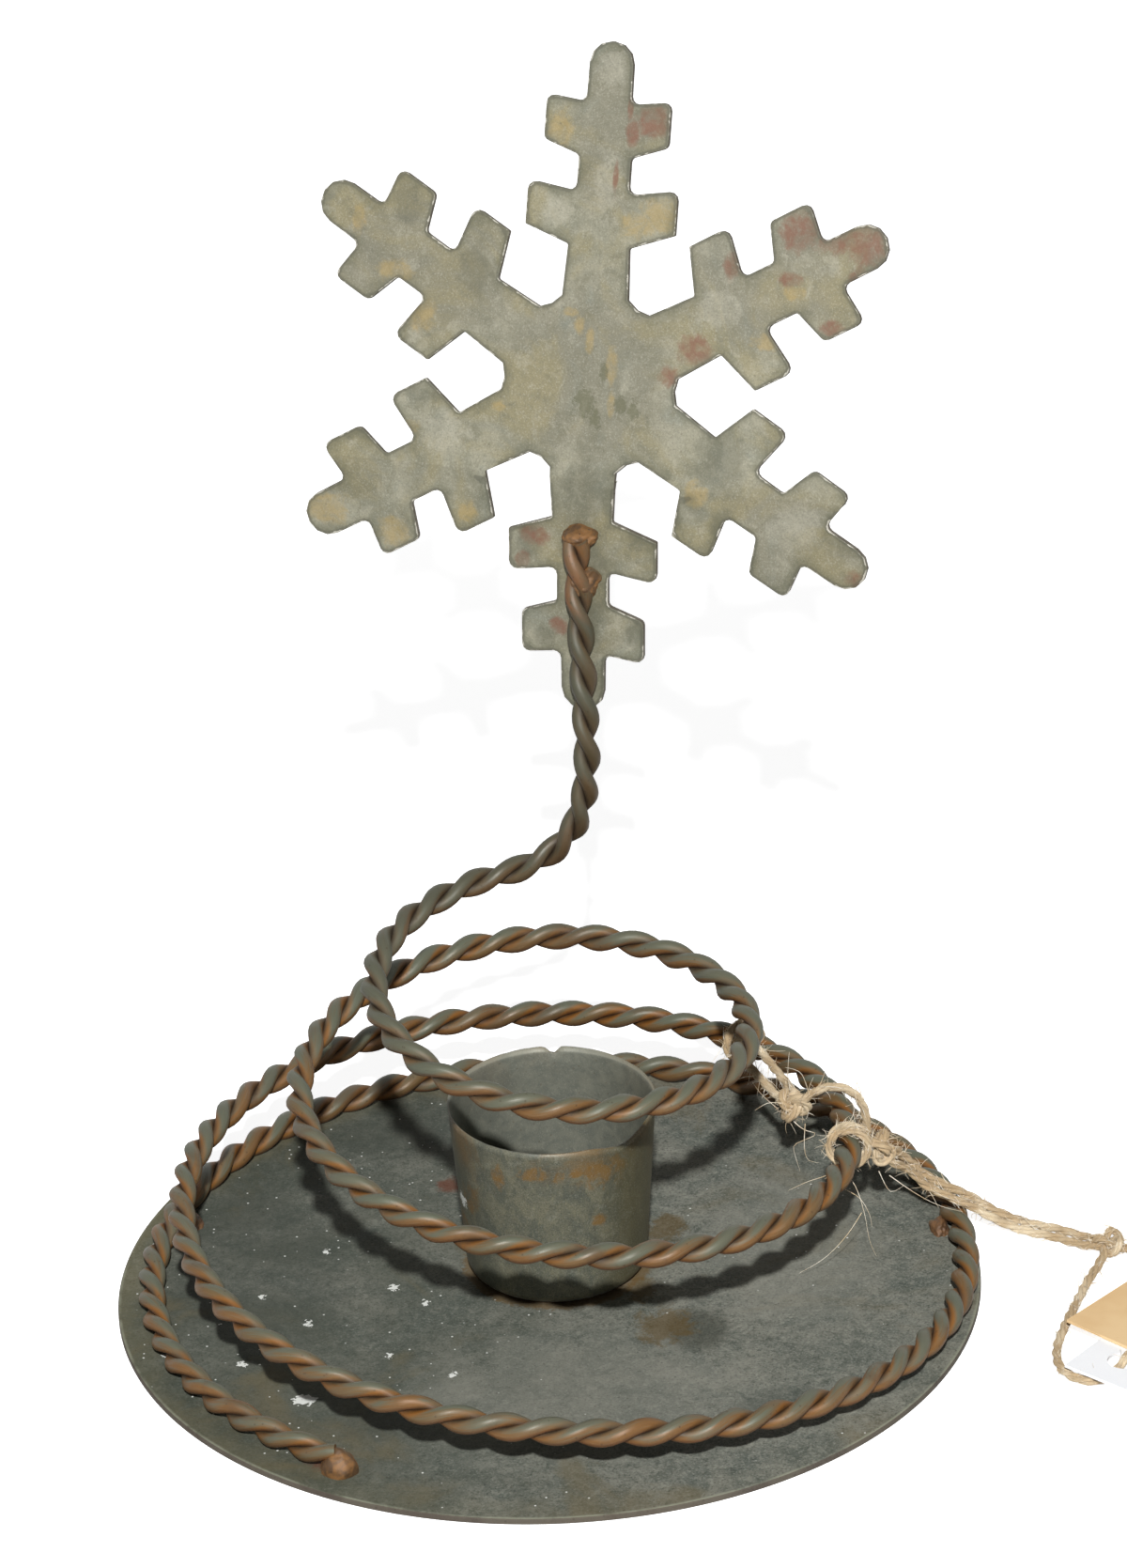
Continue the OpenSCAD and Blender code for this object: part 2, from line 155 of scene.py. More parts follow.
def tube(name, runs, radius, sides=8, closed=False, taper=None):
    # Tubes round paths, as one mesh. The attribute lay holds the millimetres along a tube and
    # the direction round it
    curve = bpy.data.curves.new(name, "CURVE")
    curve.dimensions = "3D"
    curve.bevel_depth = radius
    curve.bevel_resolution = sides // 2 - 2
    curve.use_fill_caps = not closed
    for points in runs:
        line = curve.splines.new("POLY")
        line.points.add(len(points) - 1)
        for k, (target, p) in enumerate(zip(line.points, points)):
            target.co = (*p, 1)
            if taper:
                target.radius = taper(k / (len(points) - 1))
        line.use_cyclic_u = closed
    holder = link(name, curve)
    seen = holder.evaluated_get(bpy.context.evaluated_depsgraph_get())
    mesh = bpy.data.meshes.new_from_object(seen)
    bpy.data.objects.remove(holder)
    bpy.data.curves.remove(curve)
    lay = mesh.attributes.new("lay", "FLOAT_VECTOR", "POINT")
    start = 0
    for points in runs:
        tree = kdtree.KDTree(len(points))
        for i, p in enumerate(points):
            tree.insert(p, i)
        tree.balance()
        run = lengthsOf(points)
        frames = framesAlong(points, closed)
        count = (len(points) + (0 if closed else 2)) * sides
        for v in range(start, start + count):
            i = tree.find(mesh.vertices[v].co)[1]
            out = (mesh.vertices[v].co - points[i]) / radius
            lay.data[v].vector = (run[i] / mm, out.dot(frames[i][1]), out.dot(frames[i][2]))
        start += count
    mesh.shade_smooth()
    return link(name, mesh)


def place(piece, material, slotName, *replaced):
    piece.data.materials.clear()
    piece.data.materials.append(material)
    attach(piece, "root")
    if replaced:
        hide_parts(*replaced)


# ---- shader tools

def node(tree, kind, inputs=None, **settings):
    made = tree.nodes.new(kind)
    for key, value in settings.items():
        setattr(made, key, value)
    for key, value in (inputs or {}).items():
        if isinstance(value, bpy.types.NodeSocket):
            tree.links.new(value, made.inputs[key])
        else:
            made.inputs[key].default_value = value
    return made


def calc(tree, operation, a, b=0.0, clamp=False):
    return node(tree, "ShaderNodeMath", {0: a, 1: b}, operation=operation, use_clamp=clamp).outputs[0]


def spread(tree, value, low, high):
    # 0 at low and 1 at high, smoothly
    return node(
        tree, "ShaderNodeMapRange", {"Value": value, "From Min": low, "From Max": high},
        interpolation_type="SMOOTHSTEP",
    ).outputs[0]


def mix(tree, amount, a, b, how="MIX"):
    made = node(tree, "ShaderNodeMix", {0: amount, 6: a, 7: b}, data_type="RGBA", blend_type=how)
    return made.outputs[2]


def scaled(tree, vector, by):
    return node(
        tree, "ShaderNodeVectorMath", {0: vector, 1: by}, operation="MULTIPLY"
    ).outputs[0]


def cloud(tree, vector, scale, detail=4.0, roughness=0.55, distortion=0.0):
    return node(
        tree, "ShaderNodeTexNoise",
        {"Vector": vector, "Scale": scale, "Detail": detail, "Roughness": roughness,
         "Distortion": distortion},
    ).outputs[0]


def rgb(r, g, b):
    # A colour written as it looks, 0 to 255, to the values that the shader takes
    def linear(c):
        c /= 255
        return c / 12.92 if c <= 0.04045 else ((c + 0.055) / 1.055) ** 2.4
    return (linear(r), linear(g), linear(b), 1)


def newGroup(name, takes, gives):
    group = bpy.data.node_groups.new(name, "ShaderNodeTree")
    for label, kind, value in takes:
        socket = group.interface.new_socket(label, in_out="INPUT", socket_type=kind)
        if value is not None:
            socket.default_value = value
    for label, kind in gives:
        group.interface.new_socket(label, in_out="OUTPUT", socket_type=kind)
    return group, group.nodes.new("NodeGroupInput"), group.nodes.new("NodeGroupOutput")


def useGroup(tree, group, inputs):
    made = tree.nodes.new("ShaderNodeGroup")
    made.node_tree = group
    for key, value in inputs.items():
        if isinstance(value, bpy.types.NodeSocket):
            tree.links.new(value, made.inputs[key])
        else:
            made.inputs[key].default_value = value
    return made.outputs


floatKind, vectorKind = "NodeSocketFloat", "NodeSocketVector"


def makeWeathering():
    # Cloudy mottling, fine grain and sparse pits on old steel, from millimetres
    group, takes, gives = newGroup(
        "weathering",
        [("Place", vectorKind, None), ("Size", floatKind, 6.0)],
        [("Clouds", floatKind), ("Blotches", floatKind), ("Grain", floatKind), ("Pits", floatKind)],
    )
    where = takes.outputs["Place"]
    scale = calc(group, "DIVIDE", 1.0, takes.outputs["Size"])
    links = group.links.new
    links(cloud(group, where, scale, 6, 0.62, 0.6), gives.inputs["Clouds"])
    shifted = node(group, "ShaderNodeVectorMath", {0: where, 1: (31, 57, 13)}, operation="ADD").outputs[0]
    coarse = calc(group, "MULTIPLY", scale, 0.45)
    links(cloud(group, shifted, coarse, 5, 0.6, 0.9), gives.inputs["Blotches"])
    links(cloud(group, where, 3.4, 3, 0.7), gives.inputs["Grain"])
    dots = node(
        group, "ShaderNodeTexVoronoi", {"Vector": where, "Scale": 0.9}, feature="F1"
    ).outputs[0]
    links(spread(group, dots, 0.16, 0.06), gives.inputs["Pits"])
    return group


def makeStain():
    # A ragged patch round a centre, from millimetres and a noise
    group, takes, gives = newGroup(
        "stain",
        [("Place", vectorKind, None), ("Centre", vectorKind, None),
         ("Reach", vectorKind, (2, 2, 2)), ("Ragged", floatKind, 0.0)],
        [("Amount", floatKind)],
    )
    away = node(
        group, "ShaderNodeVectorMath", {0: takes.outputs["Place"], 1: takes.outputs["Centre"]},
        operation="SUBTRACT",
    ).outputs[0]
    share = node(
        group, "ShaderNodeVectorMath", {0: away, 1: takes.outputs["Reach"]}, operation="DIVIDE"
    ).outputs[0]
    far = node(group, "ShaderNodeVectorMath", {0: share}, operation="LENGTH").outputs[1]
    total = calc(group, "ADD", far, takes.outputs["Ragged"])
    group.links.new(spread(group, total, 1.15, 0.55), gives.inputs["Amount"])
    return group


weathering = makeWeathering()
stain = makeStain()


def newMaterial(name):
    material = bpy.data.materials.new(name)
    material.use_nodes = True
    tree = material.node_tree
    return material, tree, tree.nodes["Principled BSDF"]


def setInputs(tree, shader, values):
    for key, value in values.items():
        if isinstance(value, bpy.types.NodeSocket):
            tree.links.new(value, shader.inputs[key])
        else:
            shader.inputs[key].default_value = value


def millimetres(tree):
    here = tree.nodes.new("ShaderNodeTexCoord").outputs["Object"]
    return scaled(tree, here, (1000, 1000, 1000))


def attribute(tree, name):
    return node(tree, "ShaderNodeAttribute", attribute_name=name, attribute_type="GEOMETRY")


def bump(tree, height, strength, distance):
    return node(
        tree, "ShaderNodeBump",
        {"Height": height, "Strength": strength, "Distance": distance * mm},
    ).outputs[0]


def stains(tree, where, marks, ragged=0.6, grain=0.7, detail=7):
    # One mask for several marks, each a centre and a reach
    noise0 = calc(tree, "SUBTRACT", cloud(tree, where, grain, detail, 0.72, 0.5), 0.5)
    noise0 = calc(tree, "MULTIPLY", noise0, ragged * 3)
    total = None
    for centre, reach in marks:
        one = useGroup(
            tree, stain, {"Place": where, "Centre": centre, "Reach": reach, "Ragged": noise0}
        )["Amount"]
        total = one if total is None else calc(tree, "MAXIMUM", total, one)
    return total


# ---- twine

twineSettings = {
    "thick": 1.4, "plies": 3, "plyPitch": 6.4, "plyRadius": 0.3, "plyOffset": 0.27, "step": 0.4,
}
lowerKnotAt = (40, 4.6, 14.2)
upperKnotAt = (30.2, 15.6, 14.2)
farKnotAt = (67, 1.6, 1.6)
runOut = [
    (41.6, 6.6, 12.6), (43.4, 8.4, 10.2), (45.6, 9.4, 7.4), (48.2, 9.2, 5.8), (51, 8.9, 4.4),
    (54, 8.6, 2.4), (57.6, 8, 1), (61.2, 6.6, 0.75), (64.6, 4.2, 0.8), (66, 3, 1.2),
]
runBack = [
    (41.2, 4.6, 12.2), (43.4, 6.6, 9.8), (45.6, 7.4, 7), (48.2, 7.2, 5.5), (51, 7, 4.1),
    (54, 6.8, 2.2), (57.4, 6.2, 0.9), (60.6, 4.8, 0.75), (63.8, 2.6, 0.8), (65.4, 1.6, 1.2),
]
loopPath = [
    (66, 0, 1.1), (65, -2.4, 0.8), (63.4, -5.8, 0.75), (61.4, -11, 0.75), (59.4, -16.4, 0.75),
    (58.2, -21, 0.75), (58.4, -24.6, 0.75), (60.2, -27, 0.75), (62.4, -27.4, 0.78),
    (64.2, -26.4, 1.1), (66.4, -24.6, 2.6), (68, -24, 2.95), (71.4, -22.2, 2.8),
    (74.4, -20.8, 2.7), (76, -19.9, 2), (76.4, -18.4, 1.1), (76, -15.8, 0.75),
    (73.6, -8, 0.75), (73, -4.4, 0.75), (70.4, 0.4, 0.8),
]


def jute():
    material, tree, shader = newMaterial("juteTwine")
    lay = attribute(tree, "lay").outputs["Vector"]
    where = millimetres(tree)
    # Fibres run along each ply, so the pattern is long along it and short round it
    fibres = cloud(tree, scaled(tree, lay, (0.9, 4.5, 4.5)), 1.6, 5, 0.7, 0.3)
    hairs = cloud(tree, scaled(tree, lay, (0.5, 11, 11)), 2.2, 3, 0.6)
    patches = cloud(tree, where, 0.22, 3, 0.5)
    colour = mix(tree, spread(tree, fibres, 0.3, 0.7), rgb(156, 128, 92), rgb(206, 182, 144))
    colour = mix(tree, spread(tree, patches, 0.42, 0.68), colour, rgb(228, 210, 178))
    colour = mix(tree, spread(tree, hairs, 0.6, 0.78), colour, rgb(240, 228, 204))
    colour = mix(tree, spread(tree, hairs, 0.43, 0.3), colour, rgb(108, 84, 56))
    setInputs(tree, shader, {
        "Base Color": colour, "Roughness": 0.85, "Sheen Weight": 0.25, "Sheen Roughness": 0.5,
        "Sheen Tint": rgb(235, 215, 180),
        "Normal": bump(tree, calc(tree, "ADD", fibres, calc(tree, "MULTIPLY", hairs, 0.6)), 0.7, 0.12),
    })
    return material


def fibre():
    material, tree, shader = newMaterial("juteFibre")
    tone = cloud(tree, millimetres(tree), 0.6, 2, 0.5)
    colour = mix(tree, spread(tree, tone, 0.35, 0.65), rgb(206, 182, 144), rgb(246, 238, 220))
    setInputs(tree, shader, {"Base Color": colour, "Roughness": 0.7, "Sheen Weight": 0.2})
    return material


juteMaterial = jute()
fibreMaterial = fibre()
fuzzRuns = []


def plies(points, closed=False, slim=1.0):
    s = twineSettings
    return [
        twisted(points, s["plyOffset"] * slim * mm, s["plyPitch"] * mm, 360 * k / s["plies"], closed)
        for k in range(s["plies"])
    ]


def twine(name, paths, replaced, slim=1.0):
    runs = []
    for points in paths:
        runs += plies(points, slim=slim)
        fuzzRuns.append(points)
    piece = tube(name, runs, twineSettings["plyRadius"] * slim * mm, sides=8)
    place(piece, juteMaterial, "jute_twine", *replaced)
    return piece


def knotPath(centre, turn, slim):
    # Overhand knot drawn tight, turned as rotations about X, then Y, then Z
    thick = twineSettings["thick"]
    matrix = moved(centre) @ turned(turn[2], "Z") @ turned(turn[1], "Y") @ turned(turn[0], "X")
    points = []
    for k in range(73):
        t = math.radians(5 * k)
        points.append(matrix @ (Vector((
            0.42 * thick * (math.sin(t) + 2 * math.sin(2 * t)),
            0.42 * thick * (math.cos(t) - 2 * math.cos(2 * t)),
            -0.6 * thick * math.sin(3 * t),
        )) * mm))
    return points


cordPath = smoothPath([lowerKnotAt] + runOut + loopPath + runBack[::-1] + [lowerKnotAt], 0.4)
cordPiece = twine("twineTie", [cordPath], ["twine_run", "twine_loop"])
farKnot = twine("farKnot", [knotPath(farKnotAt, (0, 0, 20), 1)], ["twine_far_knot"], slim=0.82)
print("cord length", round(lengthsOf(cordPath)[-1], 4))
print("cord made")


# ---- wire: two strands twisted into a pair, bent by hand into the coil and the stem

wireSettings = {
    "strand": 1.6, "gap": 0.08, "shown": 1.76, "pitch": 10.3, "rest": 2.46, "layRadius": 49.5, "neckRadius": 20,
    "climb": 37.5, "stemBend": 11, "cupAt": (1.1, 4), "start": 238, "neck": -975, "step": 0.6,
    "wayIn": [0.10, 0.08, 0, 0, 0.10, 0.20, 0.36, 0.49, 0.61, 0.68, 0.78, 0.88, 0.93, 1, 1.06, 1.12],
    "wayUp": [0, 0, 0, 0, 0.16, 0.29, 0.29, 0.35, 0.48, 0.64, 0.75, 0.76, 0.84, 1, 1.12, 1.24],
}
flakeSettings = {
    "at": (8.8, 27.5, 103.6), "turn": -20.2, "lean": -18.5, "bendAt": 11, "armBend": 13.5,
    "thick": 0.8, "wireLow": 38.8, "wireTop": 17.75, "crossLow": 0.9, "crossTop": -0.2,
}
flakeFrame = (
    moved(flakeSettings["at"]) @ turned(flakeSettings["turn"], "Z")
    @ turned(flakeSettings["lean"], "X")
)
lowerArmFrame = (
    flakeFrame @ moved((0, 0, -flakeSettings["bendAt"])) @ turned(flakeSettings["armBend"], "X")
    @ moved((0, 0, flakeSettings["bendAt"]))
)


def coilPoint(angle):
    s = wireSettings
    k = (270 - angle) / 90
    r = s["layRadius"] - (s["layRadius"] - s["neckRadius"]) * smoothAt(s["wayIn"], k)
    w = ease(-angle / 270)
    a = math.radians(angle)
    return Vector((
        w * s["cupAt"][0] + r * math.cos(a), w * s["cupAt"][1] + r * math.sin(a),
        s["rest"] + s["climb"] * max(0, smoothAt(s["wayUp"], k)),
    )) * mm


def coilHeading(angle):
    return (coilPoint(angle - 0.5) - coilPoint(angle + 0.5)).normalized()


def wireAxis():
    s, f = wireSettings, flakeSettings
    off = (f["thick"] / 2 + s["strand"] + s["gap"] / 2 + 0.02) * mm
    low = lowerArmFrame @ Vector((f["crossLow"] * mm, -off, -f["wireLow"] * mm))
    top = lowerArmFrame @ Vector((f["crossTop"] * mm, -off, -f["wireTop"] * mm))
    neck = coilPoint(s["neck"])
    a = neck + coilHeading(s["neck"]) * s["stemBend"] * mm
    b = low - (top - low).normalized() * s["stemBend"] * mm
    points = [coilPoint(angle) for angle in range(s["start"], s["neck"], -2)]
    for i in range(1, 25):
        t = i / 24
        points.append(
            neck * (1 - t) ** 3 + a * 3 * t * (1 - t) ** 2 + b * 3 * t * t * (1 - t) + low * t ** 3
        )
    points.append(top)
    # Spaces the rough points into even steps
    return evenSteps(points, s["step"] * mm)


def steelWire(name, shift):
    material, tree, shader = newMaterial(name)
    where = millimetres(tree)
    lay = attribute(tree, "lay").outputs["Vector"]
    groove = attribute(tree, "groove").outputs["Fac"]
    worn = useGroup(tree, weathering, {"Place": where, "Size": 5.0})
    facing = node(
        tree, "ShaderNodeSeparateXYZ", {0: tree.nodes.new("ShaderNodeTexCoord").outputs["Normal"]}
    ).outputs
    along = node(tree, "ShaderNodeVectorMath", {0: lay, 1: (shift, 0, 0)}, operation="ADD").outputs[0]
    bands = cloud(tree, scaled(tree, along, (0.1, 0.45, 0.45)), 1.0, 3, 0.5, 0.4)
    slow = cloud(tree, scaled(tree, along, (0.035, 0.3, 0.3)), 1.0, 2, 0.5, 0.2)
    drawn = cloud(tree, scaled(tree, lay, (0.25, 5, 5)), 1.2, 4, 0.65)
    # The hollows have turned rusty. The grey-teal scale tone follows slow bands, and is also laid on the upper faces as
    # a painted sky reflection; the lower faces get painted shade
    hollow = spread(tree, calc(tree, "ADD", groove, calc(tree, "MULTIPLY", bands, 0.14)), 0.16, 0.46)
    scale = calc(tree, "ADD", calc(tree, "MULTIPLY", facing[2], 0.2), calc(tree, "MULTIPLY", bands, 0.9))
    scale = calc(tree, "ADD", scale, calc(tree, "MULTIPLY", calc(tree, "SUBTRACT", drawn, 0.5), 0.35))
    high = node(tree, "ShaderNodeSeparateXYZ", {0: where}).outputs[2]
    scale = calc(tree, "ADD", scale, calc(tree, "MULTIPLY", spread(tree, high, 16, 32), 0.07))
    colour = mix(tree, spread(tree, slow, 0.4, 0.6), rgb(110, 78, 42), rgb(98, 77, 47))
    # Pale pinkish streaks along the strands: drawing marks, and a painted highlight tone
    colour = mix(tree, calc(tree, "MULTIPLY", spread(tree, drawn, 0.5, 0.75), 0.4), colour, rgb(134, 112, 88))
    colour = mix(tree, calc(tree, "MULTIPLY", spread(tree, scale, 0.44, 0.66), 0.8), colour, rgb(84, 93, 80))
    ripe = calc(tree, "MULTIPLY", hollow, calc(tree, "ADD", spread(tree, slow, 0.4, 0.62), 0.4))
    ripe = calc(tree, "MULTIPLY", ripe, calc(tree, "ADD", calc(tree, "MULTIPLY", spread(tree, high, 46, 24), 0.7), 0.3))
    colour = mix(tree, calc(tree, "MULTIPLY", ripe, 0.7), colour, rgb(128, 82, 28))
    # Painted shade: the downward faces of the lower turns are darkened to a reddish brown
    paintedUnderShade = calc(tree, "MULTIPLY", spread(tree, facing[2], 0.15, -0.6), spread(tree, high, 60, 40))
    colour = mix(tree, calc(tree, "MULTIPLY", paintedUnderShade, 0.5), colour, rgb(88, 58, 46))
    stem = calc(tree, "MULTIPLY", spread(tree, high, 32, 50), spread(tree, high, 92, 76))
    colour = mix(tree, calc(tree, "MULTIPLY", stem, 0.7), colour, rgb(62, 58, 44))
    colour = mix(tree, calc(tree, "MULTIPLY", spread(tree, worn["Blotches"], 0.54, 0.68), 0.5),
                 colour, rgb(84, 64, 44))
    # The last centimetre or two is stained by the welding
    heated = calc(tree, "ADD", calc(tree, "MULTIPLY", spread(tree, high, 72, 84), 0.3), worn["Blotches"])
    heated = calc(tree, "MULTIPLY", spread(tree, heated, 0.68, 0.86), spread(tree, high, 70, 76))
    colour = mix(tree, calc(tree, "MULTIPLY", heated, 0.6), colour, rgb(122, 78, 44))
    # Painted shade: near-black in the crevice between the strands
    colour = mix(tree, calc(tree, "MULTIPLY", spread(tree, groove, 0.25, 0.66), 0.85), colour, rgb(34, 24, 14))
    colour = mix(tree, calc(tree, "MULTIPLY", spread(tree, drawn, 0.44, 0.26), 0.4), colour, rgb(72, 56, 42))
    colour = mix(tree, calc(tree, "MULTIPLY", worn["Pits"], 0.5), colour, rgb(58, 42, 28))
    rough = calc(tree, "ADD", calc(tree, "MULTIPLY", worn["Clouds"], 0.3), 0.28)
    setInputs(tree, shader, {
        "Base Color": colour, "Metallic": 0.08, "Specular IOR Level": 0.35,
        "Roughness": calc(tree, "ADD", rough, calc(tree, "MULTIPLY", groove, 0.3)),
        "Normal": bump(tree, calc(tree, "ADD", drawn, calc(tree, "MULTIPLY", worn["Grain"], 0.5)),
                       0.3, 0.07),
    })
    return material


def makeStrands():
    s = wireSettings
    axis = wireAxis()
    wholePitch = lengthsOf(axis)[-1] / round(lengthsOf(axis)[-1] / (s["pitch"] * mm) * 6) * 6
    made = []
    for name, phase, target, shift in (
        ("wireStrandOne", 0, "wire_strand_one", 0), ("wireStrandTwo", 180, "wire_strand_two", 400),
    ):
        # The strands press into each other a little, and the pair keeps its outer size
        offset = s["strand"] + s["gap"] / 2 - s["shown"] / 2
        line = twisted(axis, offset * mm, wholePitch, phase)
        piece = tube(name, [line], s["shown"] / 2 * mm, sides=14)
        # How deep each place lies between the strands, where rust stays and painted shade darkens the crevice
        facing = piece.data.attributes.new("groove", "FLOAT", "POINT")
        tree = kdtree.KDTree(len(axis))
        for i, p in enumerate(axis):
            tree.insert(p, i)
        tree.balance()
        for v, target0 in zip(piece.data.vertices, facing.data):
            near = (axis[tree.find(v.co)[1]] - v.co).length
            target0.value = 1 - near / mm / (offset + s["shown"] / 2)
        place(piece, steelWire(name + "Steel", shift), "wire_steel", target)
        made.append(piece)
    return made


strands = makeStrands()
print("wire made")


# ---- snowflake: the CAD sheet with rounded edges, cut into a grid that carries its marks

def snowflakeSteel():
    material, tree, shader = newMaterial("snowflakeSteel")
    here = attribute(tree, "drawing").outputs["Vector"]
    edge = attribute(tree, "edge").outputs["Fac"]
    parts = node(tree, "ShaderNodeSeparateXYZ", {0: here}).outputs
    worn = useGroup(tree, weathering, {"Place": here, "Size": 6.0})
    fine = useGroup(tree, weathering, {"Place": here, "Size": 1.5})
    speckle = cloud(tree, here, 4.5, 3, 0.75)
    red = stains(tree, here, [
        ((5.5, 0, 30.4), (2.5, 3, 2.1)), ((3.2, 0, 29.1), (0.9, 3, 2)), ((2.7, 0, 31.8), (0.4, 3, 1.8)),
        ((1.5, 0, 23.9), (0.4, 3, 2.2)), ((31.8, 0, 18.7), (2.8, 3, 2.6)), ((28.2, 0, 18.6), (2.4, 3, 1.5)),
        ((23.8, 0, 19.5), (2.6, 3, 2.5)), ((16.2, 0, 15), (1.2, 3, 1.8)), ((31.1, 0, 14.7), (1.2, 3, 1.6)),
        ((28.5, 0, 8.9), (1.8, 3, 1)), ((12.5, 0, 5.1), (2.2, 3, 2)), ((9.7, 0, 1.7), (1.4, 3, 1.3)),
        ((23.2, 0, 14), (1.6, 3, 0.9)),
        ((33.3, 0, -19.7), (1.8, 3, 1.1)), ((-5.6, 0, -18.2), (2.1, 3, 1.4)),
        ((-7.3, 0, -21.5), (1, 3, 1.2)), ((-2.9, 0, -29.1), (1.3, 3, 1.2)),
    ], 0.5)
    ochre = stains(tree, here, [
        ((7.2, 0, 20), (2.6, 3, 2.3)), ((4.8, 0, 18.6), (2.5, 3, 1.6)), ((23.8, 0, 12.5), (1.3, 3, 0.9)),
        ((-29.4, 0, 16.6), (0.9, 3, 2)), ((-24.5, 0, 11), (2.5, 3, 1.4)), ((-31.6, 0, -17.6), (2.8, 3, 2.1)),
        ((-23.6, 0, -19.7), (2.3, 3, 1.9)), ((-14, 0, -16.3), (1.3, 3, 1.6)), ((-10.7, 0, -3.5), (0.9, 3, 0.7)),
        ((-2.7, 0, 8.1), (1, 3, 0.6)), ((-1.6, 0, 6.6), (0.7, 3, 1.2)), ((-0.2, 0, 5), (0.6, 3, 1.8)),
        ((2.6, 0, 2.2), (0.8, 3, 2.4)), ((2.9, 0, -2.1), (0.5, 3, 1.6)), ((-21.5, 0, -6.9), (1.4, 3, 1)),
        ((-5.5, 0, 28.8), (1.7, 3, 2.3)), ((20.6, 0, 6.6), (1.6, 3, 1.2)), ((13.7, 0, -11.4), (1.6, 3, 1.6)),
        ((-20.8, 0, 6.2), (1.7, 3, 2)),
    ], 0.6)
    gouged = stains(tree, here, [
        ((-0.4, 0, -2.2), (1.5, 3, 1.9)), ((1, 0, -3.9), (0.8, 3, 1.2)), ((4, 0, -2), (0.9, 3, 1.1)),
        ((5.6, 0, -2.8), (0.8, 3, 1.4)), ((1.7, 0, 1.5), (0.5, 3, 1.4)),
    ], 1.1, 1.3)
    dark = stains(tree, here, [
        ((16.7, 0, -7.1), (3, 3, 3.4)), ((7.2, 0, -18), (2.9, 3, 1.4)), ((-6.6, 0, -19.4), (1.8, 3, 2.6)),
        ((-14.8, 0, 11.9), (2.4, 3, 3.2)), ((17.3, 0, -15), (2, 3, 2.6)), ((6.8, 0, -29.3), (1.8, 3, 1.8)),
        ((-4.7, 0, -30.5), (1.6, 3, 1.4)), ((-27.2, 0, 7.2), (3.4, 3, 1)), ((-26.6, 0, -8), (3.4, 3, 1.2)),
        ((-20.1, 0, -3), (2.5, 3, 0.9)), ((0.3, 0, -12), (3.4, 3, 3)), ((-23.4, 0, 18.7), (2.4, 3, 2.6)),
        ((-7.1, 0, 27.1), (0.9, 3, 2)), ((0.4, 0, -24), (3, 3, 9)),
    ], 0.7, 0.4)
    pale = stains(tree, here, [
        ((-17.2, 0, -7.3), (3, 3, 2.6)), ((25.5, 0, -14.2), (3.6, 3, 3.4)), ((0.5, 0, 36), (2, 3, 2.6)),
        ((14.6, 0, 10), (3, 3, 2.4)), ((0.3, 0, 23), (1.4, 3, 4)), ((-5.2, 0, 19.4), (2, 3, 1.8)),
    ], 0.8)
    toned = stains(tree, here, [
        ((0, 0, 1), (13, 9, 12)), ((-21, 0, 12.5), (16, 9, 11)), ((24, 0, 14), (17, 9, 10)), ((1, 0, 30), (6, 9, 12)),
        ((27, 0, -16), (13, 9, 8)),
    ], 0.35, 0.12)
    lower = stains(tree, here, [((0.4, 0, -24), (6, 9, 13))], 0.4, 0.25)
    broken = calc(tree, "ADD", calc(tree, "MULTIPLY", spread(tree, fine["Clouds"], 0.36, 0.6), 0.55), 0.45)
    colour = mix(tree, spread(tree, worn["Clouds"], 0.34, 0.66), rgb(115, 114, 98), rgb(138, 135, 117))
    colour = mix(tree, calc(tree, "MULTIPLY", toned, 0.58), colour, rgb(106, 103, 88))
    colour = mix(tree, calc(tree, "MULTIPLY", lower, 0.5), colour, rgb(104, 100, 78))
    colour = mix(tree, calc(tree, "MULTIPLY", spread(tree, worn["Blotches"], 0.47, 0.62), 0.6),
                 colour, rgb(130, 121, 88))
    colour = mix(tree, calc(tree, "MULTIPLY", spread(tree, worn["Blotches"], 0.46, 0.32), 0.6),
                 colour, rgb(116, 121, 112))
    middle = cloud(tree, here, 0.34, 4, 0.66, 0.8)
    colour = mix(tree, calc(tree, "MULTIPLY", spread(tree, middle, 0.48, 0.34), 0.45), colour, rgb(98, 96, 78))
    colour = mix(tree, calc(tree, "MULTIPLY", spread(tree, middle, 0.54, 0.7), 0.35), colour, rgb(156, 153, 136))
    colour = mix(tree, calc(tree, "MULTIPLY", pale, 0.35), colour, rgb(158, 155, 140))
    colour = mix(tree, calc(tree, "MULTIPLY", spread(tree, fine["Clouds"], 0.52, 0.72), 0.3),
                 colour, rgb(158, 155, 138))
    colour = mix(tree, calc(tree, "MULTIPLY", spread(tree, fine["Clouds"], 0.46, 0.28), 0.38),
                 colour, rgb(100, 100, 86))
    colour = mix(tree, calc(tree, "MULTIPLY", spread(tree, speckle, 0.48, 0.34), 0.42), colour, rgb(96, 96, 84))
    colour = mix(tree, calc(tree, "MULTIPLY", spread(tree, speckle, 0.53, 0.66), 0.3), colour, rgb(170, 168, 154))
    colour = mix(tree, calc(tree, "MULTIPLY", dark, 0.42), colour, rgb(84, 84, 70))
    colour = mix(tree, calc(tree, "MULTIPLY", calc(tree, "MULTIPLY", ochre, broken), 0.5), colour, rgb(152, 130, 78))
    colour = mix(tree, calc(tree, "MULTIPLY", calc(tree, "MULTIPLY", red, broken), 0.78), colour, rgb(110, 74, 58))
    colour = mix(tree, calc(tree, "MULTIPLY", gouged, 0.65), colour, rgb(84, 84, 62))
    ragged = calc(tree, "MULTIPLY", calc(tree, "SUBTRACT", worn["Clouds"], 0.5), 3.0)
    away = calc(tree, "ADD", edge, ragged)
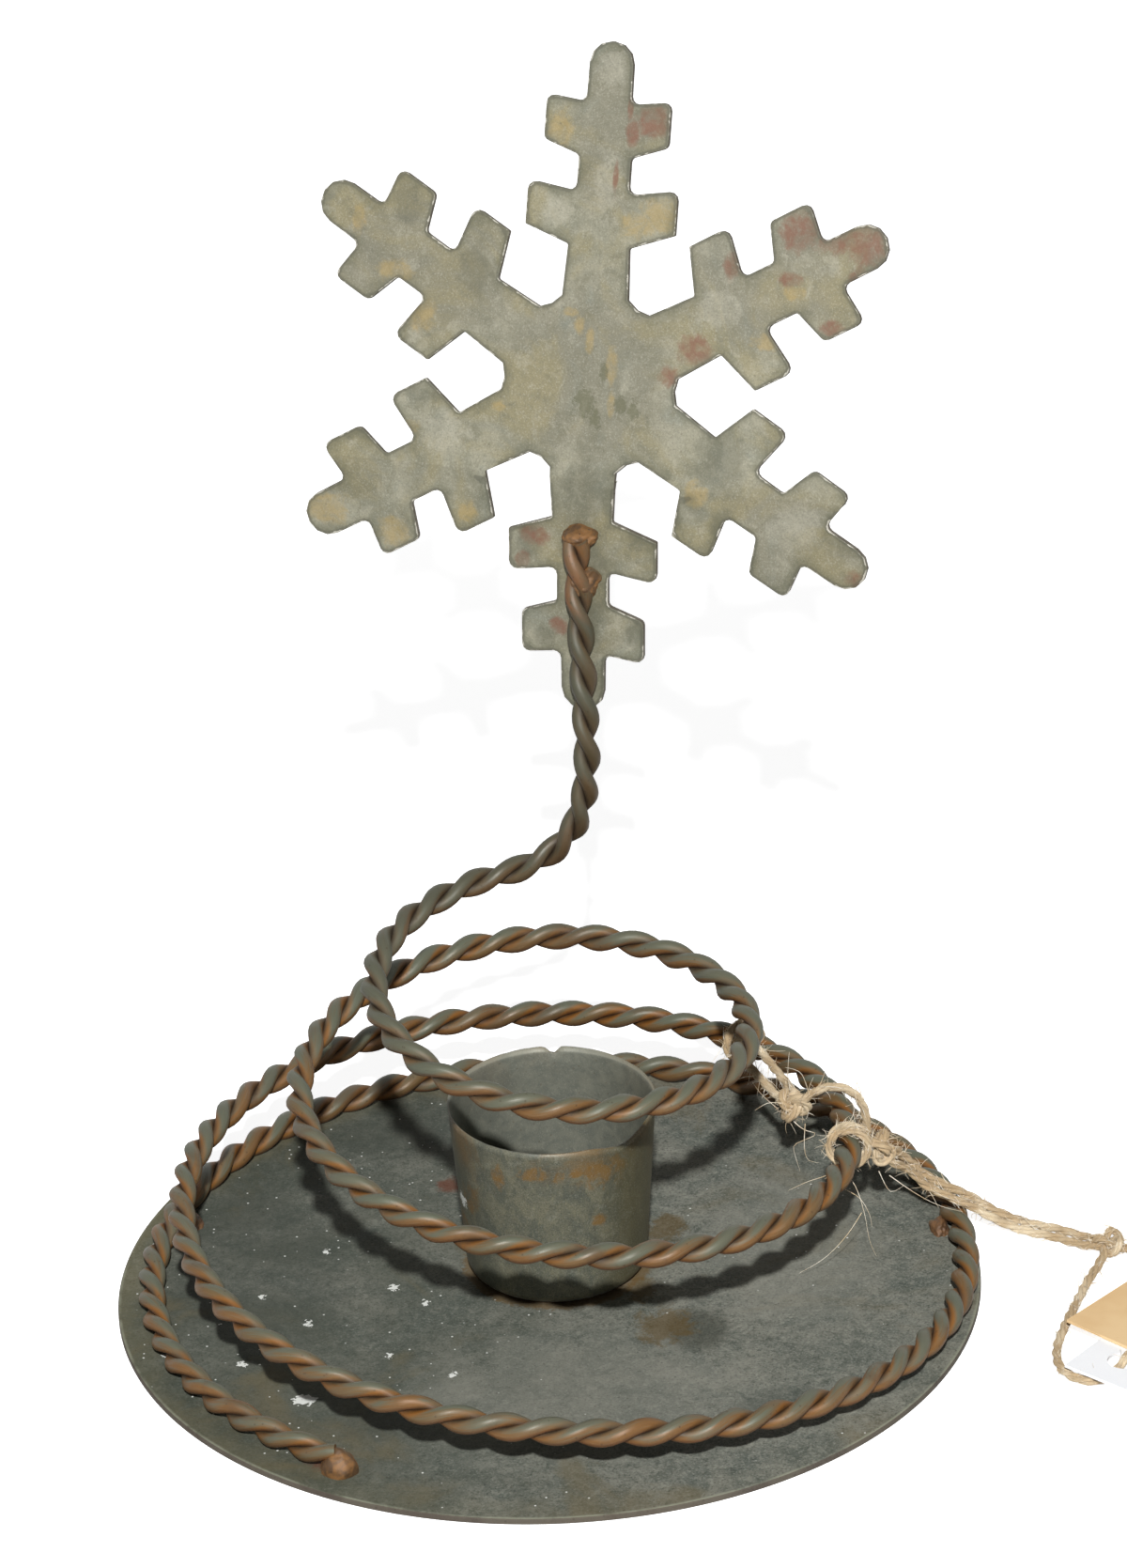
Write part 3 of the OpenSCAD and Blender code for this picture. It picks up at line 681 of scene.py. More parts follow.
    colour = mix(tree, calc(tree, "MULTIPLY", spread(tree, away, 1.3, 0.1), 0.4), colour, rgb(84, 84, 66))
    colour = mix(tree, calc(tree, "MULTIPLY", spread(tree, edge, 0.42, 0.16), 0.5), colour, rgb(70, 70, 60))
    # A bright hairline along the sheet's edge: partly worn bare metal, partly a painted highlight
    wornEdgeAndHighlight = calc(tree, "ADD", edge, calc(tree, "MULTIPLY", calc(tree, "SUBTRACT", fine["Clouds"], 0.5), 0.9))
    colour = mix(tree, calc(tree, "MULTIPLY", spread(tree, wornEdgeAndHighlight, 0.02, -0.06), 0.6), colour, rgb(200, 196, 184))
    # Painted shade: the sheet's side faces are darkened
    side = spread(tree, calc(tree, "ABSOLUTE", parts[1]), 0.37, 0.3)
    colour = mix(tree, calc(tree, "MULTIPLY", side, 0.8), colour, rgb(84, 76, 64))
    colour = mix(tree, calc(tree, "MULTIPLY", worn["Pits"], 0.35), colour, rgb(86, 80, 66))
    height = calc(tree, "ADD", fine["Grain"], calc(tree, "MULTIPLY", fine["Clouds"], 1.2))
    height = calc(tree, "SUBTRACT", height, calc(tree, "MULTIPLY", gouged, 1.5))
    setInputs(tree, shader, {
        "Base Color": colour, "Metallic": 0.08, "Specular IOR Level": 0.3,
        "Roughness": calc(tree, "ADD", calc(tree, "MULTIPLY", fine["Clouds"], 0.35), 0.38),
        "Normal": bump(tree, height, 0.4, 0.06),
    })
    return material


def closeFold(work):
    # The folded CAD sheet has a fine wedge open along its front, and each side of it is drawn together
    toFlat = flakeFrame.inverted()
    columns = {}
    for v in work.verts:
        p = toFlat @ v.co / mm
        if abs(p.z + flakeSettings["bendAt"]) < 0.125 and p.y < 0.05:
            columns.setdefault(round(p.x, 2), []).append(v)
    for verts in columns.values():
        if len(verts) > 1:
            front = [v.co for v in verts if (toFlat @ v.co).y < -0.3 * mm]
            bmesh.ops.pointmerge(work, verts=verts, merge_co=sum(front, Vector()) / len(front))


def makeSnowflake():
    mesh = nodes["snowflake"].data.copy()
    work = bmesh.new()
    work.from_mesh(mesh)
    bmesh.ops.remove_doubles(work, verts=work.verts, dist=0.004 * mm)
    closeFold(work)
    bmesh.ops.dissolve_limit(
        work, angle_limit=math.radians(1), verts=work.verts, edges=work.edges
    )
    rim = [e for e in work.edges if len(e.link_faces) == 2 and e.calc_face_angle(0) > 1.0]
    bmesh.ops.bevel(
        work, geom=rim, offset=0.12 * mm, affect="EDGES", segments=2, profile=0.5, material=-1
    )
    origin = flakeFrame.translation
    across = flakeFrame.to_3x3() @ Vector((1, 0, 0))
    upward = flakeFrame.to_3x3() @ Vector((0, 0, 1))
    for k in range(-40, 41):
        for direction in (across, upward):
            bmesh.ops.bisect_plane(
                work, geom=work.verts[:] + work.edges[:] + work.faces[:], dist=1e-7,
                plane_co=origin + direction * k * mm, plane_no=direction,
            )
    bmesh.ops.recalc_face_normals(work, faces=work.faces)
    work.to_mesh(mesh)
    work.free()
    # Place in the flat drawing, and the distance from the sheet's edge
    mesh.attributes.new("drawing", "FLOAT_VECTOR", "POINT")
    mesh.attributes.new("edge", "FLOAT", "POINT")
    drawing, edge = mesh.attributes["drawing"], mesh.attributes["edge"]
    toFlat = flakeFrame.inverted()
    toArm = lowerArmFrame.inverted()
    flat = []
    for v in mesh.vertices:
        p = toFlat @ v.co
        if p.z < -flakeSettings["bendAt"] * mm:
            p = toArm @ v.co
        flat.append(p)
    # The fold's own points are no edge
    outer = [
        p for p in flat
        if abs(p.y) < (flakeSettings["thick"] / 2 - 0.06) * mm
        and abs(p.z / mm + flakeSettings["bendAt"]) > 0.6
    ]
    tree = kdtree.KDTree(len(outer))
    for i, p in enumerate(outer):
        tree.insert((p.x, 0, p.z), i)
    tree.balance()
    for i, p in enumerate(flat):
        drawing.data[i].vector = p / mm
        edge.data[i].value = max(0, tree.find((p.x, 0, p.z))[2] / mm - 0.1)
    mesh.shade_flat()
    piece = link("snowflakeSheet", mesh)
    place(piece, snowflakeSteel(), "snowflake_steel", "snowflake")
    return piece


snowflake = makeSnowflake()
print("snowflake made", len(snowflake.data.polygons))


# ---- plate and cup

plateSettings = {"radius": 51.2, "thick": 0.8, "edge": 0.16, "steps": 256}
cupSettings = {
    "at": (1.1, 4), "foot": 10.8, "mouth": 12.3, "height": 22, "wall": 0.4, "corner": 1.8,
    "steps": 160, "dipAt": -48, "dipWide": 26, "dipDeep": 0.9, "chipAt": 88, "chipWide": 5,
    "chipDeep": 1.0, "mouthTilt": 0.036,
}


def plateSteel():
    material, tree, shader = newMaterial("plateSteel")
    here = millimetres(tree)
    worn = useGroup(tree, weathering, {"Place": here, "Size": 9.0})
    fine = useGroup(tree, weathering, {"Place": here, "Size": 1.1})
    parts = node(tree, "ShaderNodeSeparateXYZ", {0: here}).outputs
    flatPlace = node(tree, "ShaderNodeCombineXYZ", {0: parts[0], 1: parts[1]}).outputs[0]
    out = node(tree, "ShaderNodeVectorMath", {0: flatPlace}, operation="LENGTH").outputs[1]
    wander = calc(tree, "MULTIPLY", calc(tree, "SUBTRACT", worn["Clouds"], 0.5), 9.0)
    speckle = cloud(tree, here, 3.4, 3, 0.7)
    colour = mix(tree, spread(tree, worn["Clouds"], 0.3, 0.7), rgb(93, 98, 91), rgb(124, 124, 114))
    colour = mix(tree, calc(tree, "MULTIPLY", spread(tree, fine["Clouds"], 0.5, 0.68), 0.55),
                 colour, rgb(144, 144, 133))
    colour = mix(tree, calc(tree, "MULTIPLY", spread(tree, fine["Clouds"], 0.48, 0.3), 0.6),
                 colour, rgb(72, 77, 70))
    middle = cloud(tree, here, 0.36, 4, 0.65, 0.8)
    colour = mix(tree, calc(tree, "MULTIPLY", spread(tree, middle, 0.47, 0.32), 0.45), colour, rgb(70, 77, 70))
    colour = mix(tree, calc(tree, "MULTIPLY", spread(tree, middle, 0.54, 0.7), 0.4), colour, rgb(140, 140, 129))
    colour = mix(tree, calc(tree, "MULTIPLY", spread(tree, speckle, 0.54, 0.66), 0.6), colour, rgb(144, 146, 136))
    colour = mix(tree, calc(tree, "MULTIPLY", spread(tree, speckle, 0.46, 0.34), 0.6), colour, rgb(56, 60, 56))
    rimZone = spread(tree, calc(tree, "ADD", out, wander), 45.5, 50.5)
    leftward = spread(tree, parts[0], 20, -30)
    behind = calc(tree, "ADD", calc(tree, "MULTIPLY", spread(tree, parts[1], -25, 15), 0.3), 0.15)
    colour = mix(tree, calc(tree, "MULTIPLY", calc(tree, "MULTIPLY", leftward, 0.7),
                            spread(tree, worn["Blotches"], 0.2, 0.6)), colour, rgb(64, 69, 60))
    colour = mix(tree, calc(tree, "MULTIPLY", rimZone, calc(tree, "ADD", calc(tree, "MULTIPLY", leftward, behind), 0.06)),
                 colour, rgb(114, 107, 78))
    colour = mix(tree, calc(tree, "MULTIPLY", spread(tree, worn["Blotches"], 0.54, 0.7), 0.45),
                 colour, rgb(110, 99, 72))
    red = stains(tree, flatPlace, [
        ((-11.8, 22.8, 0), (1.6, 2, 3)), ((-25.6, -37.7, 0), (2.6, 2.2, 3)),
    ])
    ochre = stains(tree, flatPlace, [
        ((14.3, 10.7, 0), (2.7, 3, 3)), ((11, -3.4, 0), (2, 3, 3)), ((13.2, -11.8, 0), (3.4, 4.2, 3)),
    ], 0.95, 0.45)
    dark = stains(tree, flatPlace, [((17.1, -13, 0), (4.1, 5.2, 3))], 0.1)
    shade = stains(tree, flatPlace, [
        ((-20, -30, 0), (5, 5, 3)), ((27, -30, 0), (6, 4, 3)), ((-34, 4, 0), (12, 22, 3)), ((-6, 36, 0), (22, 8, 3)),
    ], 0.7, 0.16)
    # Painted light: paler pools over the front middle and the right of the plate
    paintedLightPools = stains(tree, flatPlace, [((3, -26, 0), (22, 15, 3)), ((30, 4, 0), (12, 20, 3))], 0.6, 0.14)
    colour = mix(tree, calc(tree, "MULTIPLY", paintedLightPools, 0.35), colour, rgb(136, 136, 126))
    colour = mix(tree, calc(tree, "MULTIPLY", shade, 0.35), colour, rgb(66, 70, 64))
    colour = mix(tree, calc(tree, "MULTIPLY", red, 0.75), colour, rgb(100, 60, 44))
    colour = mix(tree, calc(tree, "MULTIPLY", dark, 0.6), colour, rgb(54, 56, 48))
    colour = mix(tree, calc(tree, "MULTIPLY", ochre, 0.62), colour, rgb(92, 73, 36))
    # Rust where the cup's foot stands
    cupPlace = node(
        tree, "ShaderNodeVectorMath", {0: flatPlace, 1: (1.1, 4, 0)}, operation="SUBTRACT"
    ).outputs[0]
    foot = node(tree, "ShaderNodeVectorMath", {0: cupPlace}, operation="LENGTH").outputs[1]
    ring = calc(tree, "ADD", foot, calc(tree, "MULTIPLY", calc(tree, "SUBTRACT", fine["Clouds"], 0.5), 3.0))
    colour = mix(tree, calc(tree, "MULTIPLY", spread(tree, ring, 11.6, 10.9), 0.6), colour, rgb(108, 84, 48))
    # Flakes of white dust: some larger ones, and specks in loose clusters
    large = stains(tree, flatPlace, [((-28.6, -24.7, 0), (1.5, 1.1, 3))], 0.8, 1.1, 1)
    flecks = stains(tree, flatPlace, [
        ((-36, -16.6, 0), (0.54, 0.68, 3)),
        ((-28.6, -8.1, 0), (0.48, 0.61, 3)), ((-34.1, -1.7, 0), (0.34, 0.48, 3)),
        ((-45, -13.9, 0), (0.34, 0.41, 3)), ((-18.6, -0.8, 0), (0.54, 0.75, 3)),
        ((-14.7, -4.5, 0), (0.41, 0.54, 3)), ((-26.7, 8.1, 0), (0.41, 0.54, 3)),
        ((-18.9, -15.9, 0), (0.34, 0.48, 3)), ((-11.5, -20.6, 0), (0.41, 0.54, 3)),
        ((-41.7, 25.9, 0), (0.48, 0.61, 3)),
    ], 1.5, 1.9, 2)
    flecks = spread(tree, calc(tree, "MAXIMUM", flecks, large), 0.35, 0.5)
    dots = node(tree, "ShaderNodeTexVoronoi", {"Vector": flatPlace, "Scale": 0.8}, feature="F1").outputs
    chosen = calc(tree, "MULTIPLY", spread(tree, calc(tree, "ADD", worn["Blotches"], calc(
        tree, "MULTIPLY", leftward, 0.14)), 0.5, 0.6),
                  spread(tree, node(tree, "ShaderNodeSeparateXYZ", {0: dots[1]}).outputs[0], 0.6, 0.65))
    specks = calc(tree, "MULTIPLY", spread(tree, dots[0], 0.12, 0.08), chosen)
    colour = mix(tree, calc(tree, "MULTIPLY", calc(tree, "MAXIMUM", flecks, specks), 0.9),
                 colour, rgb(228, 230, 224))
    rim = calc(tree, "MULTIPLY", spread(tree, out, 50.7, 51.0), spread(tree, worn["Clouds"], 0.36, 0.56))
    colour = mix(tree, calc(tree, "MULTIPLY", rim, 0.7), colour, rgb(144, 146, 128))
    rim = spread(tree, out, 51.06, 51.16)
    colour = mix(tree, calc(tree, "MULTIPLY", rim, 0.8), colour, rgb(78, 68, 62))
    colour = mix(tree, calc(tree, "MULTIPLY", worn["Pits"], 0.4), colour, rgb(60, 54, 46))
    height = calc(tree, "ADD", fine["Grain"], calc(tree, "ADD", fine["Clouds"], speckle))
    setInputs(tree, shader, {
        "Base Color": colour, "Metallic": 0.03, "Specular IOR Level": 0.05,
        "Roughness": calc(tree, "ADD", calc(tree, "MULTIPLY", worn["Clouds"], 0.3), 0.4),
        "Normal": bump(tree, height, 0.35, 0.06),
    })
    return material


def cupSteel():
    material, tree, shader = newMaterial("cupSteel")
    here = millimetres(tree)
    worn = useGroup(tree, weathering, {"Place": here, "Size": 6.0})
    fine = useGroup(tree, weathering, {"Place": here, "Size": 1.5})
    parts = node(tree, "ShaderNodeSeparateXYZ", {0: here}).outputs
    streaks = cloud(tree, scaled(tree, here, (1, 1, 0.75)), 0.36, 7, 0.72, 0.6)
    threads = cloud(tree, scaled(tree, here, (1, 1, 0.14)), 3.2, 3, 0.6)
    speckle = cloud(tree, here, 6, 2, 0.6)
    colour = mix(tree, spread(tree, streaks, 0.34, 0.66), rgb(81, 84, 75), rgb(108, 106, 89))
    colour = mix(tree, calc(tree, "MULTIPLY", spread(tree, threads, 0.54, 0.76), 0.3),
                 colour, rgb(134, 130, 100))
    colour = mix(tree, calc(tree, "MULTIPLY", spread(tree, threads, 0.45, 0.28), 0.3),
                 colour, rgb(76, 79, 70))
    colour = mix(tree, calc(tree, "MULTIPLY", spread(tree, fine["Clouds"], 0.54, 0.75), 0.3),
                 colour, rgb(146, 146, 132))
    colour = mix(tree, calc(tree, "MULTIPLY", spread(tree, speckle, 0.5, 0.34), 0.5), colour, rgb(60, 62, 54))
    nearRim = spread(tree, calc(tree, "ADD", parts[2], calc(tree, "MULTIPLY", worn["Clouds"], 9.0)), 20.5, 27)
    colour = mix(tree, calc(tree, "MULTIPLY", calc(tree, "MULTIPLY", nearRim, 0.7),
                            spread(tree, worn["Blotches"], 0.42, 0.6)), colour, rgb(118, 90, 50))
    rust = stains(tree, here, [
        ((-9, -2.6, 13.6), (1.1, 3, 2.2)), ((-5.6, -6, 18.2), (0.8, 3, 1.9)), ((5.9, -6.4, 12.2), (1.1, 3, 0.9)),
        ((7, -6, 18.8), (3.6, 3, 2.2)), ((-0.6, -8, 19.4), (3, 3, 1.1)), ((3.6, -7.6, 19.4), (1, 3, 0.8)),
        ((-10, 0.6, 8), (1, 3, 2)),
    ], 1.05, 0.42)
    colour = mix(tree, calc(tree, "MULTIPLY", calc(tree, "MULTIPLY", rust, spread(
        tree, streaks, 0.36, 0.56)), 0.7), colour, rgb(120, 86, 36))
    uneven = calc(tree, "MULTIPLY", calc(tree, "SUBTRACT", worn["Clouds"], 0.5), 5.0)
    # Painted shade: the cup darkens towards its left and right outlines, the right side in an olive stain tone
    flankShadeAndStain = spread(tree, calc(tree, "ADD", parts[0], uneven), 4.5, 10.5)
    colour = mix(tree, calc(tree, "MULTIPLY", flankShadeAndStain, 0.62), colour, rgb(72, 66, 38))
    flankShadeAndStain = spread(tree, calc(tree, "ADD", parts[0], uneven), -6, -10.6)
    colour = mix(tree, calc(tree, "MULTIPLY", flankShadeAndStain, 0.45), colour, rgb(66, 66, 54))
    # The inside is greyer and plainer
    cupPlace = node(tree, "ShaderNodeVectorMath", {0: here, 1: (1.1, 4, 0)}, operation="SUBTRACT").outputs[0]
    flatPlace = node(tree, "ShaderNodeVectorMath", {0: cupPlace, 1: (1, 1, 0)}, operation="MULTIPLY").outputs[0]
    out = node(tree, "ShaderNodeVectorMath", {0: flatPlace}, operation="LENGTH").outputs[1]
    out = calc(tree, "SUBTRACT", out, calc(tree, "MULTIPLY", parts[2], 0.0743))
    inner = mix(tree, spread(tree, fine["Clouds"], 0.35, 0.65), rgb(98, 101, 93), rgb(114, 115, 104))
    colour = mix(tree, calc(tree, "MULTIPLY", spread(tree, out, 10.46, 10.36), 0.8), colour, inner)
    colour = mix(tree, calc(tree, "MULTIPLY", spread(tree, speckle, 0.56, 0.7), 0.3), colour, rgb(150, 150, 138))
    fleck = spread(tree, stains(tree, here, [((-10.1, 0.1, 11.8), (0.8, 1.6, 0.9))], 1.3, 1.9), 0.3, 0.5)
    colour = mix(tree, calc(tree, "MULTIPLY", fleck, 0.9), colour, rgb(228, 230, 224))
    foot = spread(tree, calc(tree, "ADD", parts[2], calc(tree, "MULTIPLY", fine["Clouds"], 0.8)), 1.7, 1.2)
    colour = mix(tree, calc(tree, "MULTIPLY", foot, 0.8), colour, rgb(128, 88, 48))
    # The cut edge at the top is lighter: partly bare metal, partly a painted highlight
    rim = spread(tree, parts[2], 22.5, 22.75)
    colour = mix(tree, calc(tree, "MULTIPLY", rim, 0.35), colour, rgb(168, 166, 150))
    colour = mix(tree, calc(tree, "MULTIPLY", worn["Pits"], 0.35), colour, rgb(74, 62, 48))
    height = calc(tree, "ADD", calc(tree, "MULTIPLY", threads, 0.6), fine["Clouds"])
    setInputs(tree, shader, {
        "Base Color": colour, "Metallic": 0.08, "Specular IOR Level": 0.3,
        "Roughness": calc(tree, "ADD", calc(tree, "MULTIPLY", streaks, 0.3), 0.3),
        "Normal": bump(tree, height, 0.3, 0.06),
    })
    return material


def spun(name, profile, steps, centre=(0, 0), close=False):
    # A profile of radius and height turned once round a vertical axis
    work = bmesh.new()
    verts = [work.verts.new(Vector((centre[0] + r, centre[1], z)) * mm) for r, z in profile]
    edges = [work.edges.new(pair) for pair in zip(verts, verts[1:])]
    if close:
        edges.append(work.edges.new((verts[-1], verts[0])))
    bmesh.ops.spin(
        work, geom=verts + edges, cent=Vector((centre[0], centre[1], 0)) * mm, axis=(0, 0, 1),
        angle=math.tau, steps=steps, use_merge=True,
    )
    bmesh.ops.remove_doubles(work, verts=work.verts, dist=0.002 * mm)
    bmesh.ops.recalc_face_normals(work, faces=work.faces)
    mesh = bpy.data.meshes.new(name)
    work.to_mesh(mesh)
    work.free()
    return mesh


def makePlate(s):
    r, t, e = s["radius"], s["thick"], s["edge"]
    profile = [(0, 0), (r - e, 0), (r - 0.3 * e, 0.3 * e), (r, e), (r, t - e),
               (r - 0.3 * e, t - 0.3 * e), (r - e, t), (r - 3, t), (0, t)]
    piece = link("plateDisc", spun("plateDisc", profile, s["steps"]))
    place(piece, plateSteel(), "plate_steel", "base_plate")
    return piece


def makeCup(s):
    foot, mouth, wall, corner = s["foot"], s["mouth"], s["wall"], s["corner"]
    base = plateSettings["thick"]
    profile = [(0, base)]
    for k in range(9):
        a = math.radians(-90 + 90 * k / 8)
        profile.append((foot - corner + corner * math.cos(a), base + corner + corner * math.sin(a)))
    for k in range(1, 23):
        t = k / 22
        profile.append((foot + (mouth - foot) * t, base + corner + (s["height"] - corner) * t))
    mesh = spun("cupShell", profile, s["steps"], s["at"])
    top = base + s["height"]
    for v in mesh.vertices:
        x, y, z = v.co / mm - Vector((*s["at"], 0))
        # The mouth was cut a little out of level, lower in front
        v.co.z += s["mouthTilt"] * y * ease((z - base - corner) / (top - base - corner)) * mm
        if z < top - 6:
            continue
        angle = math.degrees(math.atan2(y, x))
        share = ease((z - top + 6) / 6)
        dip = s["dipDeep"] * (1 - ease(abs(angle - s["dipAt"]) / s["dipWide"]))
        chip = s["chipDeep"] * max(0, 1 - abs(angle - s["chipAt"]) / s["chipWide"]) * ease((z - top + 1) / 1)
        ripple = 0.09 * noise.noise(Vector((x, y, 3)) * 0.9)
        v.co.z -= (dip * share + chip + max(0, ripple) * share) * mm
    mesh.shade_smooth()
    piece = link("cupShell", mesh)
    solid = piece.modifiers.new("wall", "SOLIDIFY")
    solid.thickness = wall * mm
    solid.offset = -1
    solid.use_even_offset = True
    # The cut edge is thinner than the drawn wall below it
    group = piece.vertex_groups.new(name="wall")
    for v in mesh.vertices:
        group.add([v.index], 1 - 0.6 * ease((v.co.z / mm - top + 1.6) / 1.6), "REPLACE")
    solid.vertex_group = "wall"
    place(piece, cupSteel(), "cup_steel", "candle_cup")
    return piece


plate = makePlate(plateSettings)
cup = makeCup(cupSettings)
print("plate and cup made")


# ---- welds

def weldMetal(name, dark, light, relief):
    material, tree, shader = newMaterial(name)
    here = millimetres(tree)
    worn = useGroup(tree, weathering, {"Place": here, "Size": 1.6})
    colour = mix(tree, spread(tree, worn["Clouds"], 0.38, 0.62), dark, light)
    colour = mix(tree, calc(tree, "MULTIPLY", spread(tree, worn["Blotches"], 0.56, 0.7), 0.6),
                 colour, rgb(112, 104, 84))
    colour = mix(tree, calc(tree, "MULTIPLY", worn["Pits"], 0.8), colour, rgb(52, 38, 30))
    height = calc(tree, "ADD", worn["Clouds"], calc(tree, "MULTIPLY", worn["Grain"], 0.4))
    setInputs(tree, shader, {
        "Base Color": colour, "Metallic": 0.15,
        "Roughness": calc(tree, "ADD", calc(tree, "MULTIPLY", worn["Clouds"], 0.3), 0.45),
        "Normal": bump(tree, height, relief, 0.15),
    })
    return material


rustyWeld = weldMetal("rustyWeld", rgb(82, 60, 38), rgb(122, 86, 48), 0.45)
darkWeld = weldMetal("darkWeld", rgb(72, 52, 36), rgb(108, 76, 46), 0.6)


def weld(name, target, matrix, size, seed, material, lumpy=1.0):
    # A lump on a flat face: the face is Z = 0 of the matrix's frame
    work = bmesh.new()
    bmesh.ops.create_icosphere(work, subdivisions=5, radius=1)
    for v in work.verts:
        p = v.co.copy()
        lumps = 0.22 * noise.noise(p * 1.3 + Vector((seed, 0, 0))) + 0.1 * noise.noise(p * 3.1 + Vector((0, seed, 0)))
        p *= 1 + lumps * lumpy
        p = Vector((p.x * size[0], p.y * size[1], max(p.z * size[2], -0.05))) * mm
        v.co = matrix @ p
    mesh = bpy.data.meshes.new(name)
    work.to_mesh(mesh)
    work.free()
    mesh.shade_smooth()
    piece = link(name, mesh)
    place(piece, material, "weld_metal", target)
    return piece


def onPlate(angle, inward):
    a = math.radians(angle)
    p = coilPoint(angle) / mm - Vector((math.cos(a), math.sin(a), 0)) * inward
    return moved((p.x, p.y, plateSettings["thick"])) @ turned(angle, "Z")


def onArm(across, fromCentre):
    face = -flakeSettings["thick"] / 2
    return lowerArmFrame @ moved((across, face, -fromCentre)) @ turned(90, "X")


weld("startWeld", "tack_weld_start", onPlate(238.4, 0), (1.85, 2.2, 2.8), 1, rustyWeld, 0.5)
weld("leftTack", "tack_weld_left", onPlate(160, 1.94), (1.2, 1.7, 1.5), 2, darkWeld)
weld("rightTack", "tack_weld_right", onPlate(9, 1.94), (1.2, 1.7, 1.5), 3, darkWeld)
weld("upperArmWeld", "arm_weld_upper", onArm(-0.2, 17.75), (2.1, 1.4, 2.7), 4, rustyWeld)
weld("lowerArmWeld", "arm_weld_lower", onArm(0.4, 23.15), (1.9, 1.9, 2.6), 5, rustyWeld)
print("welds made")


# ---- the rest of the twine: hitches, knots and the short strands between them

def windingPath(angle, start):
    # Two turns side by side round the wire, joined by one short slant
    heading = coilHeading(angle)
    polar = math.degrees(math.acos(heading.z))
    azimuth = math.degrees(math.atan2(heading.y, heading.x))
    matrix = Matrix.Translation(coilPoint(angle)) @ turned(azimuth, "Z") @ turned(polar, "Y")
    points = []
    for k in range(-2, 99):
        t = k / 48
        shift = -0.75 + 1.5 * ease((t - 0.9) / 0.2)
        a = math.radians(start + 360 * t)
        points.append(matrix @ (Vector((2.3 * math.cos(a), 2.3 * math.sin(a), shift)) * mm))
    return evenSteps(points, twineSettings["step"] * mm)


step = twineSettings["step"]
twine("backHitch", [windingPath(-310.5, 200)], ["twine_back_hitch"])
twine("ringHitch", [windingPath(-362, 200)], ["twine_ring_hitch"], slim=0.86)
twine("upperKnot", [knotPath(upperKnotAt, (60, 20, -30), 1)], ["twine_upper_knot"], slim=1.05)
twine("lowerKnot", [knotPath(lowerKnotAt, (70, 10, 80), 1)], ["twine_lower_knot"], slim=1.05)
twine("twineBridge", [
    smoothPath([(24.4, 30.1, 15.8), (26.2, 27.6, 16), (27.6, 24.6, 15.6), (28.9, 21.2, 15.3),
                (29.9, 18.4, 15.1), (30.2, 17, 14.9), (30.4, 16, 14.6)], step),
    smoothPath([(23.9, 29.8, 13.9), (25.1, 27.2, 13.9), (26.4, 24, 13.7), (27.8, 20.8, 13.5),
                (28.8, 18.4, 13.4), (29.3, 16.4, 13.6), (29.8, 15.6, 13.8)], step),
    smoothPath([(30.8, 15.2, 14.8), (31.7, 14.6, 15.6), (33.2, 14, 17), (35, 13.2, 17.8), (36.7, 12, 17.9),
                (37.8, 10, 17.7), (38.3, 7.2, 17.3), (38.2, 3.6, 16.9)], step),
], ["twine_bridge"])


